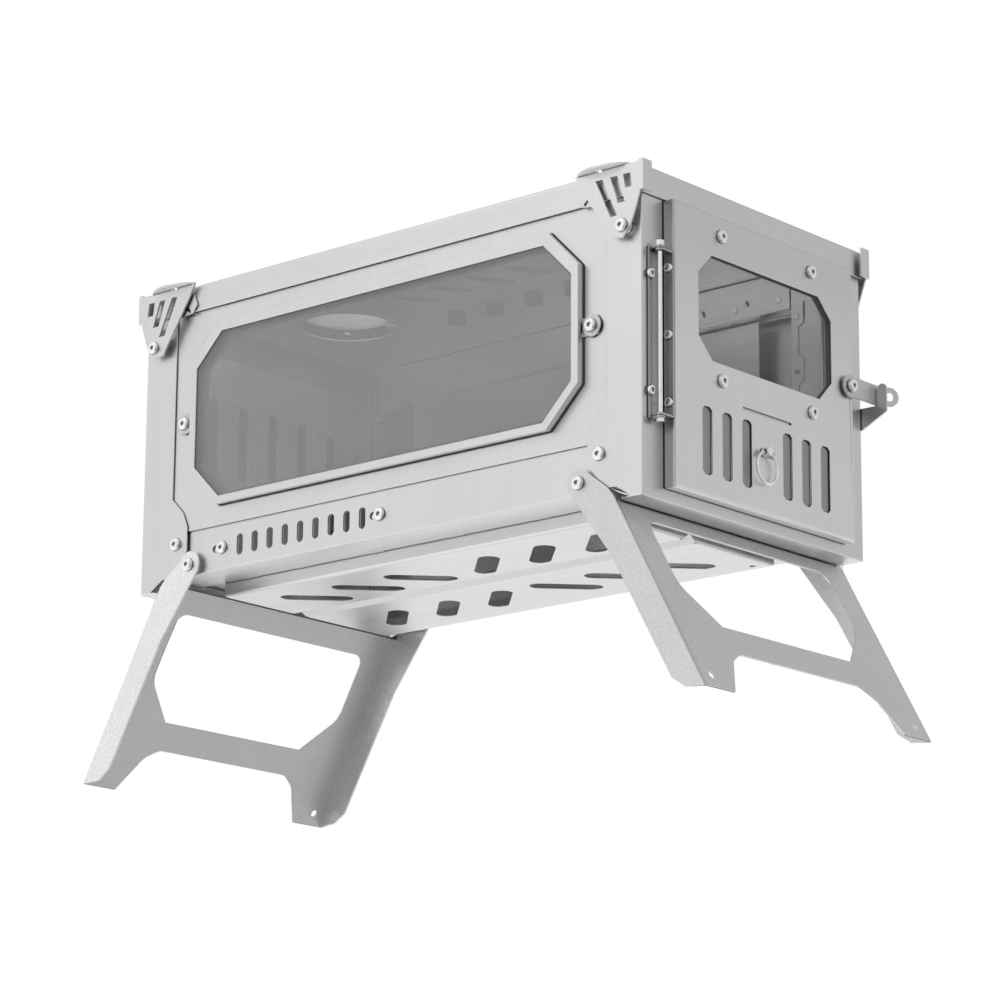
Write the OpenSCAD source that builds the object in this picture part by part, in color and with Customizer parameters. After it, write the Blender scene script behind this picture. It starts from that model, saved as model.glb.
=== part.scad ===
// Folding tent wood stove in stainless sheet steel.
// The door faces +X, the long window side faces -Y, and the feet stand on z = 0.
// Inside the modules z = 0 is the foot of the two end frames; placed() sets the body on its legs.

/* [Body] */
// Length over the lid
body_l = 400; // [380:1:430]
// Width over the lid
body_w = 210; // [200:1:225]
// Height from the foot of the frames to the top of the lid
body_h = 192; // [186:1:205]
// Thickness of the sheet metal
sheet = 1; // [0.8:0.05:1.1]
// Depth of the lid's lip
lid_lip = 17; // [13:1:20]
// Outside radius of the folded edges
bend_r = 2; // [1.5:0.1:2.5]
// Play between sheets that nest or touch
play = 0.1; // [0.05:0.05:0.15]
// Clearance between pieces that move past each other
run_gap = 0.3; // [0.25:0.05:0.4]

/* [End frames] */
// Width of the flange down each side
flange_w = 26; // [22:1:30]
// Reach of the lobe at the foot of each side
lobe_w = 39.5; // [36:0.5:42]
// Height of that lobe
lobe_h = 57; // [50:1:65]
// Width of the frame on each side of the firebox mouth
mouth_side = 29; // [27:0.5:34]
// Height of the firebox mouth
mouth_h = 152; // [140:1:156]
// Sill under the firebox mouth
mouth_sill = 16; // [12:1:20]
// Depth of the fold along the top of an end frame
top_fold = 15; // [10:1:20]

/* [Window] */
// Length of the window's bezel
bezel_l = 311.6; // [280:0.2:314]
// Height of the strip between the bezel and the top of the lid
bezel_under = 27.5; // [24:0.5:32]
// Height of the bezel's lower edge over the foot of the frames
bezel_z = 47.5; // [45:0.5:52]
// Rim of the bezel at its two ends
bezel_end_rim = 5.3; // [4:0.1:8]
// Rim of the bezel above the glass
bezel_top_rim = 7.5; // [5:0.5:10]
// Rim of the bezel below the glass
bezel_low_rim = 4.5; // [4:0.5:8]
// Cut across the bezel's corners
bezel_cut = 23.5; // [16:0.5:28]
// Thickness of the glass panes
glass_t = 4; // [3:0.5:5]

/* [Side vents] */
// Height of the rail along the foot of each long side
rail_h = 35; // [30:1:38]
// Height of the rail's lower edge over the foot of the frames
rail_z = 7; // [6:0.5:9]
// Length of the rails
rail_l = 352; // [340:1:360]
// Number of vents
vent_count = 9; // [5:1:9]
// Distance from vent to vent
vent_pitch = 12.66; // [11.5:0.02:13]
// Width of a vent
vent_w = 5.1; // [4:0.1:5.4]
// Height of a vent
vent_h = 13; // [10:0.5:14]

/* [Floor pan] */
// Length of the pan's well
pan_l = 312; // [290:1:316]
// Width of the ledge on each side of the pan's well
pan_side = 31.5; // [31:0.5:40]
// How far the pan hangs below the foot of the frames
pan_drop = 1.8; // [1:0.1:2]
// Length of a slot in the pan
pan_slot_l = 45; // [35:1:48]
// Width of a slot in the pan
pan_slot_w = 13; // [8:0.5:14]
// Distance from slot to slot along the pan
pan_pitch = 43; // [40:0.5:44]
// Distance of the slots' centre line from the side of the well
pan_row_in = 37; // [35.5:0.5:38]
// Distance of the first slots from the pan's middle
pan_first = 26.5; // [25:0.5:30]

/* [Door] */
// Width of the door
door_w = 170; // [164:1:171]
// Depth of the door's folded edge
door_depth = 8; // [7:0.5:9]
// Height of the door's lower edge over the foot of the frames
door_z = 7; // [5:0.5:9]
// Width of the door's face on each side of its window
door_win_side = 21.7; // [20:0.1:30]
// Height of the door's face above its window
door_win_under = 25.4; // [24:0.1:36]
// Cut across the corners of that window
door_win_cut = 12.5; // [8:0.5:16]
// Height of an air slot
air_h = 39.5; // [30:0.5:42]
// Distance of the outermost air slots from the door's sides
air_side = 29.2; // [28:0.1:34]
// Distance of the innermost air slots from the door's centre line
air_first = 19.2; // [18:0.1:20]
// Outer radius of the pull ring
ring_r = 10.3; // [9:0.1:11]
// Radius of the pull ring's wire
wire_r = 0.9; // [0.7:0.05:1]

/* [Hinge and latch] */
// Radius of the hinge pin
pin_r = 1.3; // [1.2:0.05:1.4]
// Height of the hinge over its ears
hinge_h = 100; // [90:1:104]
// Radial clearance of a pin in its hole
pin_gap = 0.05; // [0.03:0.01:0.08]
// Length of the latch arm from its pivot to its bend
arm_l = 28; // [27.5:0.1:29]
// Height of the latch arm
arm_h = 12.4; // [11:0.1:13]
// Radius of the eye at the latch's tip
eye_r = 5.9; // [5:0.1:6.2]
// Outward bend of the latch's tip
eye_bend = 30; // [20:1:35]

/* [Legs] */
// Height of the frames' foot above the floor
leg_h = 113; // [105:1:114]
// Splay of the legs
splay = 29; // [28:0.5:30]
// Thickness of the leg sheet
leg_t = 1.2; // [1:0.05:1.3]
// Width of the folded edges of a leg
leg_edge = 17.2; // [15:0.1:18]
// Radius of the ear round a leg's pivot
ear_r = 8.5; // [7:0.1:9]
// Distance of the leg pivots from the centre
pivot_x = 155; // [154.9:0.1:156]
// Height of the leg pivots over the foot of the frames
pivot_z = 13; // [12.8:0.1:14]

/* [Screws] */
// Radius of a screw's shank
screw_r = 2; // [1.8:0.1:2.2]
// Radius of a screw's head
head_r = 3.7; // [3.2:0.1:4]
// Height of a screw's head
head_h = 2.6; // [2:0.1:2.8]
// Radius of a small screw's shank
small_r = 1.5; // [1.2:0.1:1.6]
// Radius of a small screw's head
small_head_r = 3; // [2.6:0.1:3.2]
// Height of a small screw's head
small_head_h = 1.8; // [1.4:0.1:2]

/* [Flue] */
// Inner radius of the flue collar
flue_r = 30; // [26:0.5:32]
// Height of the flue collar above the lid
flue_h = 28; // [20:1:30]
// Distance of the flue from the centre, towards the rear
flue_back = 125; // [115:1:128]

/* [Hidden] */
$fn = 48;

// Overrun of every cut
cut = 1;
// Chamfer round a screw's head, and the depth of its socket
head_chamfer = 0.5;
socket_depth = 1.4;
socket_r = 1.6;
nut_r = 4;
nut_h = 2.4;

// Faces of the nested sheets, from the outside in
half_l = body_l / 2;
half_w = body_w / 2;
frame_x = half_l - sheet - play;
frame_y = half_w - sheet - play;
frame_top = body_h - sheet - play;
panel_y = frame_y - sheet - play;
panel_x = frame_x - sheet - play;
rail_y = panel_y - sheet - play;
vent_slider_y = rail_y - sheet - run_gap;
// Lower edge of the side panels, which lap over the rails
panel_lap = 7;
panel_z = rail_z + rail_h - panel_lap;
panel_top = frame_top - sheet - play;

// Fold under the foot of an end frame: the leg's web rests against its edge
relief_r = 2.2;
web_off = 16.5;
web_foot_x = pivot_x + (web_off + pivot_z * sin(splay)) / cos(splay);
foot_fold_x = web_foot_x + run_gap;
// Lobe outline as shares of lobe_w and lobe_h, from the end face upwards
lobe_shares = [[0, 0], [0.18, 0], [0.48, 0.13], [0.66, 0.13], [0.835, 0.26], [1, 0.395],
    [1, 0.67], [0.9, 0.83]];
mouth_w = body_w - 2 * mouth_side;
rail_screw_in = 30.6;
rail_screw_z = 28;

// Bezel round the window, proud of the side panel by the glass
bezel_h = body_h - bezel_under - bezel_z;
bezel_proud = glass_t + 2 * play;
bezel_open_cut = bezel_cut - 2.5 * sheet;
bezel_tab_l = 9;
bezel_tab_h = 11;
bezel_screw_x = bezel_l / 2 + 7.2 * sheet;
bezel_mid_z = bezel_z + bezel_h / 2 - 2.3 * sheet;
washer_r = 6.5;
washer_t = 1;
panel_window_lap = 1.5;

// Vent slider: its screws ride in slots of the rail
vent_mid_x = -65;
vent_z = 20.8;
vent_travel = vent_pitch / 2;
vent_slider_h = 20;
vent_slider_over = 18;
vent_screw_over = 14.6;
vent_head_h = 2;
rail_fold = 27;
rail_tab_l = 14;
rail_tab_d = 1.2;
rail_tab_x = [-130, -86, -27, 36, 102, 160];

// Floor pan
pan_w = body_w - 2 * pan_side;
pan_row = pan_w / 2 - pan_row_in;
pan_flange = 16;
pan_flange_top = rail_z + sheet + play + sheet;
bead_w = 13;
bead_h = 4.3;
bead_y = -7.5;
pan_hole_r = 2;

// Lid, baffle and what hangs inside
flue_x = -flue_back;
flue_flange = 11;
flue_wall = 1.5;
flue_screw_pcd_r = flue_r + flue_wall + flue_flange / 2;
baffle_drop = 7;
baffle_in = 9;
baffle_w = body_w - 2 * baffle_in;
baffle_l = 370;
baffle_lip = 26;
baffle_top = body_h - sheet - baffle_drop;
baffle_hole_r = 3;
baffle_hole_pitch = 21.7;
baffle_hole_drop = 22;
baffle_hole_z = baffle_top - baffle_hole_drop;
baffle_slit_l = 26;
baffle_slit_w = 3;
baffle_slit_pitch = 29;
baffle_row = 30;
baffle_screw_at = [[-98, 12], [-98, -60], [150, 60], [150, -60]];
spacer_wall = 2;
channel_h = 24;
channel_w = 11;
channel_l = 314;
liner_l = 302;
shield_in = 30;
shield_w = body_w - 2 * shield_in;
shield_h = 150;
shield_off = 8;
shield_slot_h = 50;
shield_slot_w = 8;
shield_pitch = 27;

// Corner brackets: outline in distance from the end and height below the lid's top
bracket_t = 1.2;
bracket_off = 3.4;
bracket_y = frame_y + bracket_off + bracket_t;
bracket_l = 47;
bracket_drop = 42;
bracket_tip_in = 11.5;
bracket_tip_drop = 35.5;
bracket_tip_z = body_h - bracket_tip_drop;
bracket_screw_x = frame_x - bracket_tip_in + sheet;
bracket_lip_out = 3.5;
bracket_lip_x = half_l + bracket_lip_out;
bracket_lip_w = 8;
bracket_flange = 6.5;
bracket_flange_in = 41;
bracket_arc_r = 28;
bracket_hole_r = 2.2;
bracket_hole_in = 28.4;
bracket_hole_y = half_w + 4.2 * sheet;
bracket_shares = [[0, 0], [1, 0], [0.89, 0.22], [0.525, 0.83], [0.44, 0.98], [0.26, 1.02], [0.15, 0.88], [0, 0.42]];
bracket_slot_shares = [[0.66, 0.13, 0.43, 0.69], [0.43, 0.13, 0.31, 0.52], [0.23, 0.13, 0.2, 0.33]];
bracket_slot_w = 5;
bracket_ear_shares = [[0.943, 0.13], [1.01, 0.31], [0.936, 0.42], [0.64, 0.464], [0.72, 0.13]];
bracket_joggle_shares = [[0.72, 0.13], [0.64, 0.464], [0.69, 0.464], [0.77, 0.13]];
bracket_ear_slot_l = 9;
bracket_ear_slot_w = 2.2;

// Hinge: its leaf on the frame, its leaf on the door, and one long pin
hinge_t = 1.2;
hinge_off = 5.1;
hinge_pin_x = frame_x + hinge_off;
hinge_clear = 9.2;
hinge_pin_y = -(door_w / 2 + hinge_clear);
hinge_mid_z = 94.5;
hinge_leaf_w = 8;
hinge_ear_r = 2.8;
hinge_screw_span = 68;
hinge_door_screw_span = 39.2;
hinge_screw_out = 3.8;
hinge_screw_y = hinge_pin_y - hinge_screw_out;
pin_head_r = 2.6;
pin_head_h = 3.2;

// Door: a shallow tray whose window, slots and screws sit on the face
door_back_x = frame_x + play + run_gap;
door_face_x = door_back_x + door_depth;
door_top = body_h - lid_lip - run_gap - play;
door_h = door_top - door_z;
door_win_z = 86.8;
door_win_w = door_w - 2 * door_win_side;
door_win_h = door_top - door_win_under - door_win_z;
door_glass_over = 7;
door_screw_in = 20.5;
door_screw_y = door_win_w / 2 - door_screw_in;
door_screw_low = 10.2;
door_screw_high = 13.1;
air_z = 19.5;
air_lap = 0.15;
air_pitch = (door_w / 2 - air_side - air_first) / 2;
air_w = air_pitch / 2 - air_lap;
air_tip = 2;
slit_l = 46;
slit_w = 1.6;
slit_z = 65.4;
air_travel = air_pitch / 2;
door_slider_over = air_travel / 2 + air_w / 2 + 2.5 * sheet;
door_slider_x = door_face_x - sheet - run_gap - sheet;
door_slider_margin = 4;
guide_lap = 3;
knob_y = -air_travel / 2;
knob_z = 42.8;
knob_r = 2.6;
knob_stem_r = 1.8;
knob_reach = 2.6;
knob_bore_r = 1.35;
ring_mid_r = ring_r - wire_r;

// Latch: the lever turns on the door and drops into the keeper's notch on the right side
lever_t = 1.2;
lever_gap = 1.5;
lever_x = door_face_x + lever_gap;
lever_in = 6.5;
lever_y = door_w / 2 - lever_in;
lever_z = 100.3;
lever_end_r = 6.8;
eye_out = 7.8;
lever_nip = 0.1;
eye_hole_r = 2.7;
lever_bend_y = lever_y + arm_l;
keeper_t = 1.2;
keeper_y = frame_y + play;
notch_z = lever_z - arm_h / 2 - run_gap;
tab_x = lever_x + lever_t + 1.1 * run_gap + sheet / 2;
tab_w = 6.4;
tab_h = 13;
keeper_back = 20;
keeper_drop = 13.5;
keeper_screw_in = 14;
keeper_screw_drop = 4;

// Legs, drawn hanging straight down from the pivot, then splayed
leg_y = frame_y + play + 2 * run_gap;
leg_w = 2 * (leg_y + leg_t);
leg_end = (pivot_z + leg_h + (web_off - leg_t) * sin(splay)) / cos(splay);
leg_web_top = 18;
leg_head = 16;
leg_side = 22.3;
leg_foot = 30;
leg_bar = 18.5;
leg_corner_r = 8;
leg_diag_y = 23.5;
leg_diag_z = 25;
foot_flat = 25.8;
foot_slope_y = 14;
foot_step_y = 10;
foot_step_z = 6.5;
peg_r = 2.3;
peg_in = 10.8;
peg_up = 8.5;
leg_spacer_r = 4.5;

// Extents that centre the whole stove on the origin
latch_out = lever_bend_y + (eye_out + eye_r) * cos(eye_bend);
bracket_out = bracket_y + bracket_flange;
centre_shift = (bracket_out - latch_out) / 2;

module placed() {
    translate([0, centre_shift, leg_h]) children();
}

module both_sides() {
    children();
    mirror([0, 1, 0]) children();
}

module both_ends() {
    children();
    mirror([1, 0, 0]) children();
}

// Plates: an outline in x and z, y and z, or x and y, thickened along the third axis
module plate_y(y, t) {
    translate([0, y + t, 0]) rotate([90, 0, 0]) linear_extrude(t) children();
}

module plate_x(x, t) {
    translate([x, 0, 0]) rotate([90, 0, 90]) linear_extrude(t) children();
}

module plate_z(z, t) {
    translate([0, 0, z]) linear_extrude(t) children();
}

// Hole through a plate that faces a long side or an end
module hole_y(x, z, r) {
    translate([x, 0, z]) rotate([90, 0, 0]) cylinder(r = r, h = body_w + 2 * leg_edge, center = true);
}

module hole_x(y, z, r) {
    translate([half_l, y, z]) rotate([0, 90, 0]) cylinder(r = r, h = half_l, center = true);
}

module obround(l, w) {
    square([l - w, w], center = true);
    for (s = [-1, 1]) translate([s * (l - w) / 2, 0]) circle(d = w);
}

module cut_rect(l, h, c) {
    polygon([
        [-l / 2 + c, 0], [l / 2 - c, 0], [l / 2, c], [l / 2, h - c],
        [l / 2 - c, h], [-l / 2 + c, h], [-l / 2, h - c], [-l / 2, c]
    ]);
}

// Section of a folded sheet: a block whose two upper corners are round
module rounded_section(w, h, r) {
    translate([-w / 2, 0]) square([w, h - r]);
    translate([-w / 2 + r, 0]) square([w - 2 * r, h]);
    for (s = [-1, 1]) translate([s * (w / 2 - r), h - r]) circle(r);
}

module rounded_block(l, w, h, r) {
    intersection() {
        rotate([90, 0, 0]) linear_extrude(w, center = true) rounded_section(l, h, r);
        rotate([90, 0, 90]) linear_extrude(l, center = true) rounded_section(w, h, r);
    }
}

module folded_tray(l, w, h, t, r) {
    difference() {
        rounded_block(l, w, h, r);
        translate([0, 0, -cut]) rounded_block(l - 2 * t, w - 2 * t, h - t + cut, r - t);
    }
}

// Socket screw along +Z, seated at z = 0, with a nut at the end of its grip
module screw(r, hr, hh, grip, nut) {
    difference() {
        union() {
            cylinder(r = hr, h = hh - head_chamfer);
            translate([0, 0, hh - head_chamfer]) cylinder(r1 = hr, r2 = hr - head_chamfer, h = head_chamfer);
        }
        translate([0, 0, hh - socket_depth]) cylinder(r = socket_r, h = socket_depth + cut, $fn = 6);
    }
    translate([0, 0, -grip]) cylinder(r = r, h = grip);
    if (nut) translate([0, 0, -grip - nut_h]) cylinder(r = nut_r, h = nut_h, $fn = 6);
}

module ring_spacer(r, hole, h) {
    difference() {
        cylinder(r = r, h = h);
        translate([0, 0, -cut]) cylinder(r = hole, h = h + 2 * cut);
    }
}

screw_hole = screw_r + pin_gap;
small_hole = small_r + pin_gap;

// End frames

module flange_outline() {
    polygon(concat(
        [for (p = lobe_shares) [frame_x - p[0] * lobe_w, p[1] * lobe_h]],
        [[frame_x - flange_w, lobe_h], [frame_x - flange_w, frame_top], [frame_x, frame_top]]
    ));
}

module end_shell() {
    intersection() {
        union() {
            plate_x(frame_x - sheet, sheet) translate([-frame_y, 0]) square([2 * frame_y, frame_top]);
            both_sides() plate_y(-frame_y, sheet) flange_outline();
            plate_z(frame_top - sheet, sheet)
                translate([frame_x - top_fold, -frame_y]) square([top_fold, 2 * frame_y]);
        }
        rounded_block(2 * frame_x, 2 * frame_y, frame_top, bend_r - sheet);
    }
    plate_z(0, sheet) difference() {
        translate([foot_fold_x, -frame_y]) square([frame_x - foot_fold_x, 2 * frame_y]);
        for (s = [-1, 1]) translate([foot_fold_x, s * frame_y]) circle(relief_r);
    }
}

module end_holes() {
    both_sides() {
        translate([frame_x - rail_screw_in, -frame_y, rail_screw_z]) rotate([90, 0, 0])
            cylinder(r = screw_hole, h = 4 * sheet, center = true);
        translate([bracket_screw_x, -frame_y, bracket_tip_z]) rotate([90, 0, 0])
            cylinder(r = screw_hole, h = 4 * sheet, center = true);
    }
}

module front_frame() color("silver") difference() {
    end_shell();
    end_holes();
    plate_x(frame_x - sheet - cut, sheet + 2 * cut)
        translate([-mouth_w / 2, mouth_sill]) square([mouth_w, mouth_h]);
    for (s = [-1, 1]) hole_x(hinge_screw_y, hinge_mid_z + s * hinge_screw_span / 2, small_hole);
    for (p = keeper_screw_at()) translate([p[0], frame_y, p[1]]) rotate([90, 0, 0])
        cylinder(r = small_hole, h = 4 * sheet, center = true);
}

module rear_frame() color("silver") mirror([1, 0, 0]) difference() {
    end_shell();
    end_holes();
}

// Long sides

module panel_outline() {
    translate([-panel_x, panel_z]) square([2 * panel_x, panel_top - panel_z]);
}

module bezel_outline(rim_end, rim_low, rim_top, c) {
    translate([0, bezel_z + rim_low])
        cut_rect(bezel_l - 2 * rim_end, bezel_h - rim_low - rim_top, c);
}

module left_panel() color("gainsboro") difference() {
    plate_y(-panel_y, sheet) difference() {
        panel_outline();
        bezel_outline(bezel_end_rim + panel_window_lap, bezel_low_rim + panel_window_lap,
            bezel_top_rim + panel_window_lap, bezel_open_cut);
    }
    both_ends() {
        hole_y(bezel_screw_x, bezel_mid_z, screw_hole);
        hole_y(bracket_screw_x, bracket_tip_z, screw_hole);
    }
}

module right_panel() color("gainsboro") mirror([0, 1, 0]) difference() {
    plate_y(-panel_y, sheet) panel_outline();
    both_ends() hole_y(bracket_screw_x, bracket_tip_z, screw_hole);
}

module rail_shape() {
    plate_y(-rail_y, sheet) translate([-rail_l / 2, rail_z]) square([rail_l, rail_h]);
    plate_z(rail_z, sheet) {
        translate([-rail_l / 2, -rail_y]) square([rail_l, rail_fold]);
        for (x = rail_tab_x) translate([x, -rail_y + rail_fold]) polygon([
            [-rail_tab_l / 2, -cut], [rail_tab_l / 2, -cut],
            [rail_tab_l / 2, 0], [rail_tab_l / 2 - rail_tab_d, rail_tab_d],
            [-rail_tab_l / 2 + rail_tab_d, rail_tab_d], [-rail_tab_l / 2, 0]
        ]);
    }
}

module rail_holes() {
    both_ends() {
        hole_y(frame_x - rail_screw_in, rail_screw_z, screw_hole);
        hole_y(pivot_x, pivot_z, screw_hole);
    }
}

vent_span = (vent_count - 1) * vent_pitch;
vent_screw_x = [vent_mid_x - vent_span / 2 - vent_screw_over, vent_mid_x + vent_span / 2 + vent_screw_over];

module vents() {
    for (i = [0 : vent_count - 1]) translate([vent_mid_x - vent_span / 2 + i * vent_pitch, vent_z])
        rotate(90) obround(vent_h, vent_w);
}

module left_rail() color("gainsboro") difference() {
    rail_shape();
    rail_holes();
    plate_y(-rail_y - cut, sheet + 2 * cut) {
        vents();
        for (x = vent_screw_x) translate([x - vent_travel / 2, vent_z])
            obround(vent_travel + 2 * (screw_r + run_gap), 2 * (screw_r + run_gap));
    }
}

module right_rail() color("gainsboro") mirror([0, 1, 0]) difference() {
    rail_shape();
    rail_holes();
}

module vent_slider() color("darkgray") difference() {
    plate_y(-vent_slider_y, sheet) difference() {
        translate([vent_mid_x, vent_z])
            square([vent_span + 2 * (vent_screw_over + vent_slider_over / 2), vent_slider_h], center = true);
        vents();
    }
    for (x = vent_screw_x) hole_y(x, vent_z, screw_hole);
}

module vent_slider_screws() color("lightgray")
    for (x = vent_screw_x) translate([x, -rail_y - run_gap, vent_z]) rotate([90, 0, 0])
        screw(screw_r, head_r, vent_head_h, rail_y + run_gap - vent_slider_y + sheet, true);

module rail_screws() color("lightgray") both_ends() both_sides()
    translate([frame_x - rail_screw_in, -frame_y, rail_screw_z]) rotate([90, 0, 0])
        screw(screw_r, head_r, head_h, frame_y - rail_y + sheet, true);

// Window

module window_bezel() color("silver") difference() {
    union() {
        plate_y(-panel_y - bezel_proud - sheet, bezel_proud + sheet) bezel_outline(0, 0, 0, bezel_cut);
        both_ends() plate_y(-panel_y - sheet, sheet)
            translate([bezel_l / 2 - sheet, bezel_mid_z - bezel_tab_h / 2])
                square([bezel_screw_x - bezel_l / 2 + sheet + bezel_tab_l / 2, bezel_tab_h]);
    }
    plate_y(-panel_y - bezel_proud, bezel_proud + cut) bezel_outline(sheet, sheet, sheet, bezel_cut - sheet / 2);
    plate_y(-panel_y - bezel_proud - sheet - cut, bezel_proud)
        bezel_outline(bezel_end_rim, bezel_low_rim, bezel_top_rim, bezel_open_cut);
    both_ends() hole_y(bezel_screw_x, bezel_mid_z, screw_hole);
}

module window_glass() color("lightblue", 0.4)
    plate_y(-panel_y - play - glass_t, glass_t)
        bezel_outline(sheet + play, sheet + play, sheet + play, bezel_cut - sheet / 2);

module bezel_washers() color("silver") both_ends()
    translate([bezel_screw_x, -panel_y - sheet, bezel_mid_z]) rotate([90, 0, 0])
        ring_spacer(washer_r, screw_hole, washer_t);

module bezel_screws() color("lightgray") both_ends()
    translate([bezel_screw_x, -panel_y - sheet - washer_t, bezel_mid_z]) rotate([90, 0, 0])
        screw(screw_r, head_r, head_h, washer_t + 2 * sheet, true);

// Floor pan

module pan_slots() {
    for (row = [-1, 1], end = [-1, 1], i = [0 : 2])
        translate([end * (pan_first + pan_pitch * i), row * pan_row])
            rotate(90 - end * row * 45) obround(pan_slot_l, pan_slot_w);
}

module pan_bead(lift, l) {
    rotate([90, 0, 90]) linear_extrude(l, center = true) polygon([
        [bead_y - bead_w / 2, -pan_drop - cut + lift], [bead_y + bead_w / 2, -pan_drop - cut + lift],
        [bead_y + bead_w / 2, -pan_drop + lift], [bead_y, -pan_drop + lift + bead_h],
        [bead_y - bead_w / 2, -pan_drop + lift]
    ]);
}

module floor_pan() color("gray") difference() {
    union() {
        translate([0, 0, pan_flange_top]) rotate([180, 0, 0])
            folded_tray(pan_l, pan_w, pan_flange_top + pan_drop, sheet, bend_r);
        plate_z(pan_flange_top - sheet, sheet) difference() {
            square([pan_l + 2 * (pan_flange - bend_r), pan_w + 2 * pan_flange], center = true);
            square([pan_l - 2 * sheet, pan_w - 2 * sheet], center = true);
        }
        intersection() {
            pan_bead(sheet, pan_l - 2 * sheet);
            translate([0, 0, bead_h - pan_drop]) cube([pan_l, pan_w, 2 * bead_h], center = true);
        }
    }
    pan_bead(0, pan_l + 2 * cut);
    plate_z(-pan_drop - cut, sheet + 2 * cut) pan_slots();
    translate([pan_l / 2 - bend_r - 4 * pan_hole_r, pan_w / 2 - bend_r - 3 * pan_hole_r, -pan_drop - cut])
        cylinder(r = pan_hole_r, h = sheet + 2 * cut);
}

// Lid and flue

module lid() color("silver") difference() {
    translate([0, 0, body_h - lid_lip]) folded_tray(body_l, body_w, lid_lip, sheet, bend_r);
    translate([flue_x, 0, body_h - sheet - cut]) cylinder(r = flue_r, h = sheet + 2 * cut);
    for (p = flue_screw_at()) translate([p[0], p[1], body_h - sheet - cut])
        cylinder(r = small_hole, h = sheet + 2 * cut);
}

function flue_screw_at() = [for (a = [45 : 90 : 315])
    [flue_x + flue_screw_pcd_r * cos(a), flue_screw_pcd_r * sin(a)]];

module flue_collar() color("silver") difference() {
    translate([flue_x, 0, body_h]) rotate_extrude() {
        translate([flue_r, 0]) square([flue_wall, flue_h]);
        translate([flue_r, 0]) square([flue_wall + flue_flange, sheet]);
    }
    for (p = flue_screw_at()) translate([p[0], p[1], body_h - cut])
        cylinder(r = small_hole, h = sheet + 2 * cut);
}

module flue_screws() color("lightgray") for (p = flue_screw_at())
    translate([p[0], p[1], body_h + sheet])
        screw(small_r, small_head_r, small_head_h, 2 * sheet, true);

// Ceiling baffle with folded sides, hung from the lid

module baffle_slits() {
    for (i = [0 : 4], s = [-1, 1])
        translate([i * baffle_slit_pitch + baffle_row / 2, s * baffle_row]) {
            rotate(s * 45) obround(baffle_slit_l, baffle_slit_w);
            translate([baffle_slit_pitch / 2, 0]) rotate(45) square(2 * baffle_slit_w, center = true);
        }
}

module ceiling_baffle() color("dimgray") difference() {
    union() {
        plate_z(baffle_top - sheet, sheet) square([baffle_l, baffle_w], center = true);
        both_sides() plate_y(-baffle_w / 2, sheet)
            translate([-baffle_l / 2, baffle_top - baffle_lip]) square([baffle_l, baffle_lip]);
    }
    plate_z(baffle_top - sheet - cut, sheet + 2 * cut) {
        translate([flue_x, 0]) circle(flue_r);
        baffle_slits();
        for (p = baffle_screw_at) translate(p) circle(screw_hole);
    }
    both_sides() for (i = [0 : 3]) translate([48 / 200 * half_l + i * baffle_hole_pitch, -baffle_w / 2, baffle_hole_z])
        rotate([90, 0, 0]) cylinder(r = baffle_hole_r, h = 4 * sheet, center = true);
}

module baffle_spacers() color("lightgray") for (p = baffle_screw_at)
    translate([p[0], p[1], baffle_top]) ring_spacer(screw_r + spacer_wall, screw_hole, baffle_drop);

module baffle_screws() color("lightgray") for (p = baffle_screw_at)
    translate([p[0], p[1], baffle_top - sheet]) rotate([180, 0, 0])
        screw(screw_r, head_r, head_h, sheet + baffle_drop, false);

// C-shaped channel along the far edge of the baffle, open towards the wall
module air_channel() color("dimgray") {
    inner_y = baffle_w / 2 - sheet - play - channel_w;
    top_z = baffle_top - sheet - play;
    difference() {
        plate_x(-channel_l / 2, channel_l) polygon([
            [inner_y, top_z], [inner_y, top_z - channel_h], [inner_y + channel_w, top_z - channel_h],
            [inner_y + channel_w, top_z - channel_h + sheet], [inner_y + sheet, top_z - channel_h + sheet],
            [inner_y + sheet, top_z - sheet], [inner_y + channel_w / 2, top_z - sheet],
            [inner_y + channel_w / 2, top_z]
        ]);
        plate_z(top_z - channel_h - cut, sheet + 2 * cut) for (i = [-1 : 1])
            translate([i * channel_l / 3, inner_y + channel_w * 0.55]) obround(channel_l / 4, channel_w / 3);
    }
}

module right_liner() color("gray")
    plate_y(baffle_w / 2 - sheet - play - channel_w / 3, sheet)
        translate([-liner_l / 2, rail_z + sheet + play])
            square([liner_l, baffle_top - channel_h - 2 * sheet - 2 * play - rail_z - sheet]);

module rear_shield() color("gray") translate([-frame_x + sheet + play, 0, mouth_sill]) difference() {
    translate([0, 0, shield_h / 2]) rotate([0, 90, 0])
        folded_tray(shield_h, shield_w, shield_off, sheet, bend_r);
    for (i = [-2 : 2]) translate([0, i * shield_pitch, shield_h / 2 + shield_slot_w])
        rotate([0, 90, 0]) linear_extrude(shield_off + cut) obround(shield_slot_h, shield_slot_w);
}

// Corner brackets

module bracket_part(shares) {
    polygon([for (p = shares) [half_l + sheet - p[0] * bracket_l, body_h - p[1] * bracket_drop]]);
}

module bracket_slots() {
    for (s = bracket_slot_shares) polygon([
        [half_l - s[0] * bracket_l, body_h - s[1] * bracket_drop],
        [half_l - s[0] * bracket_l + bracket_slot_w, body_h - s[1] * bracket_drop],
        [half_l - s[2] * bracket_l + bracket_slot_w, body_h - s[3] * bracket_drop],
        [half_l - s[2] * bracket_l, body_h - s[3] * bracket_drop]
    ]);
}

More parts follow.
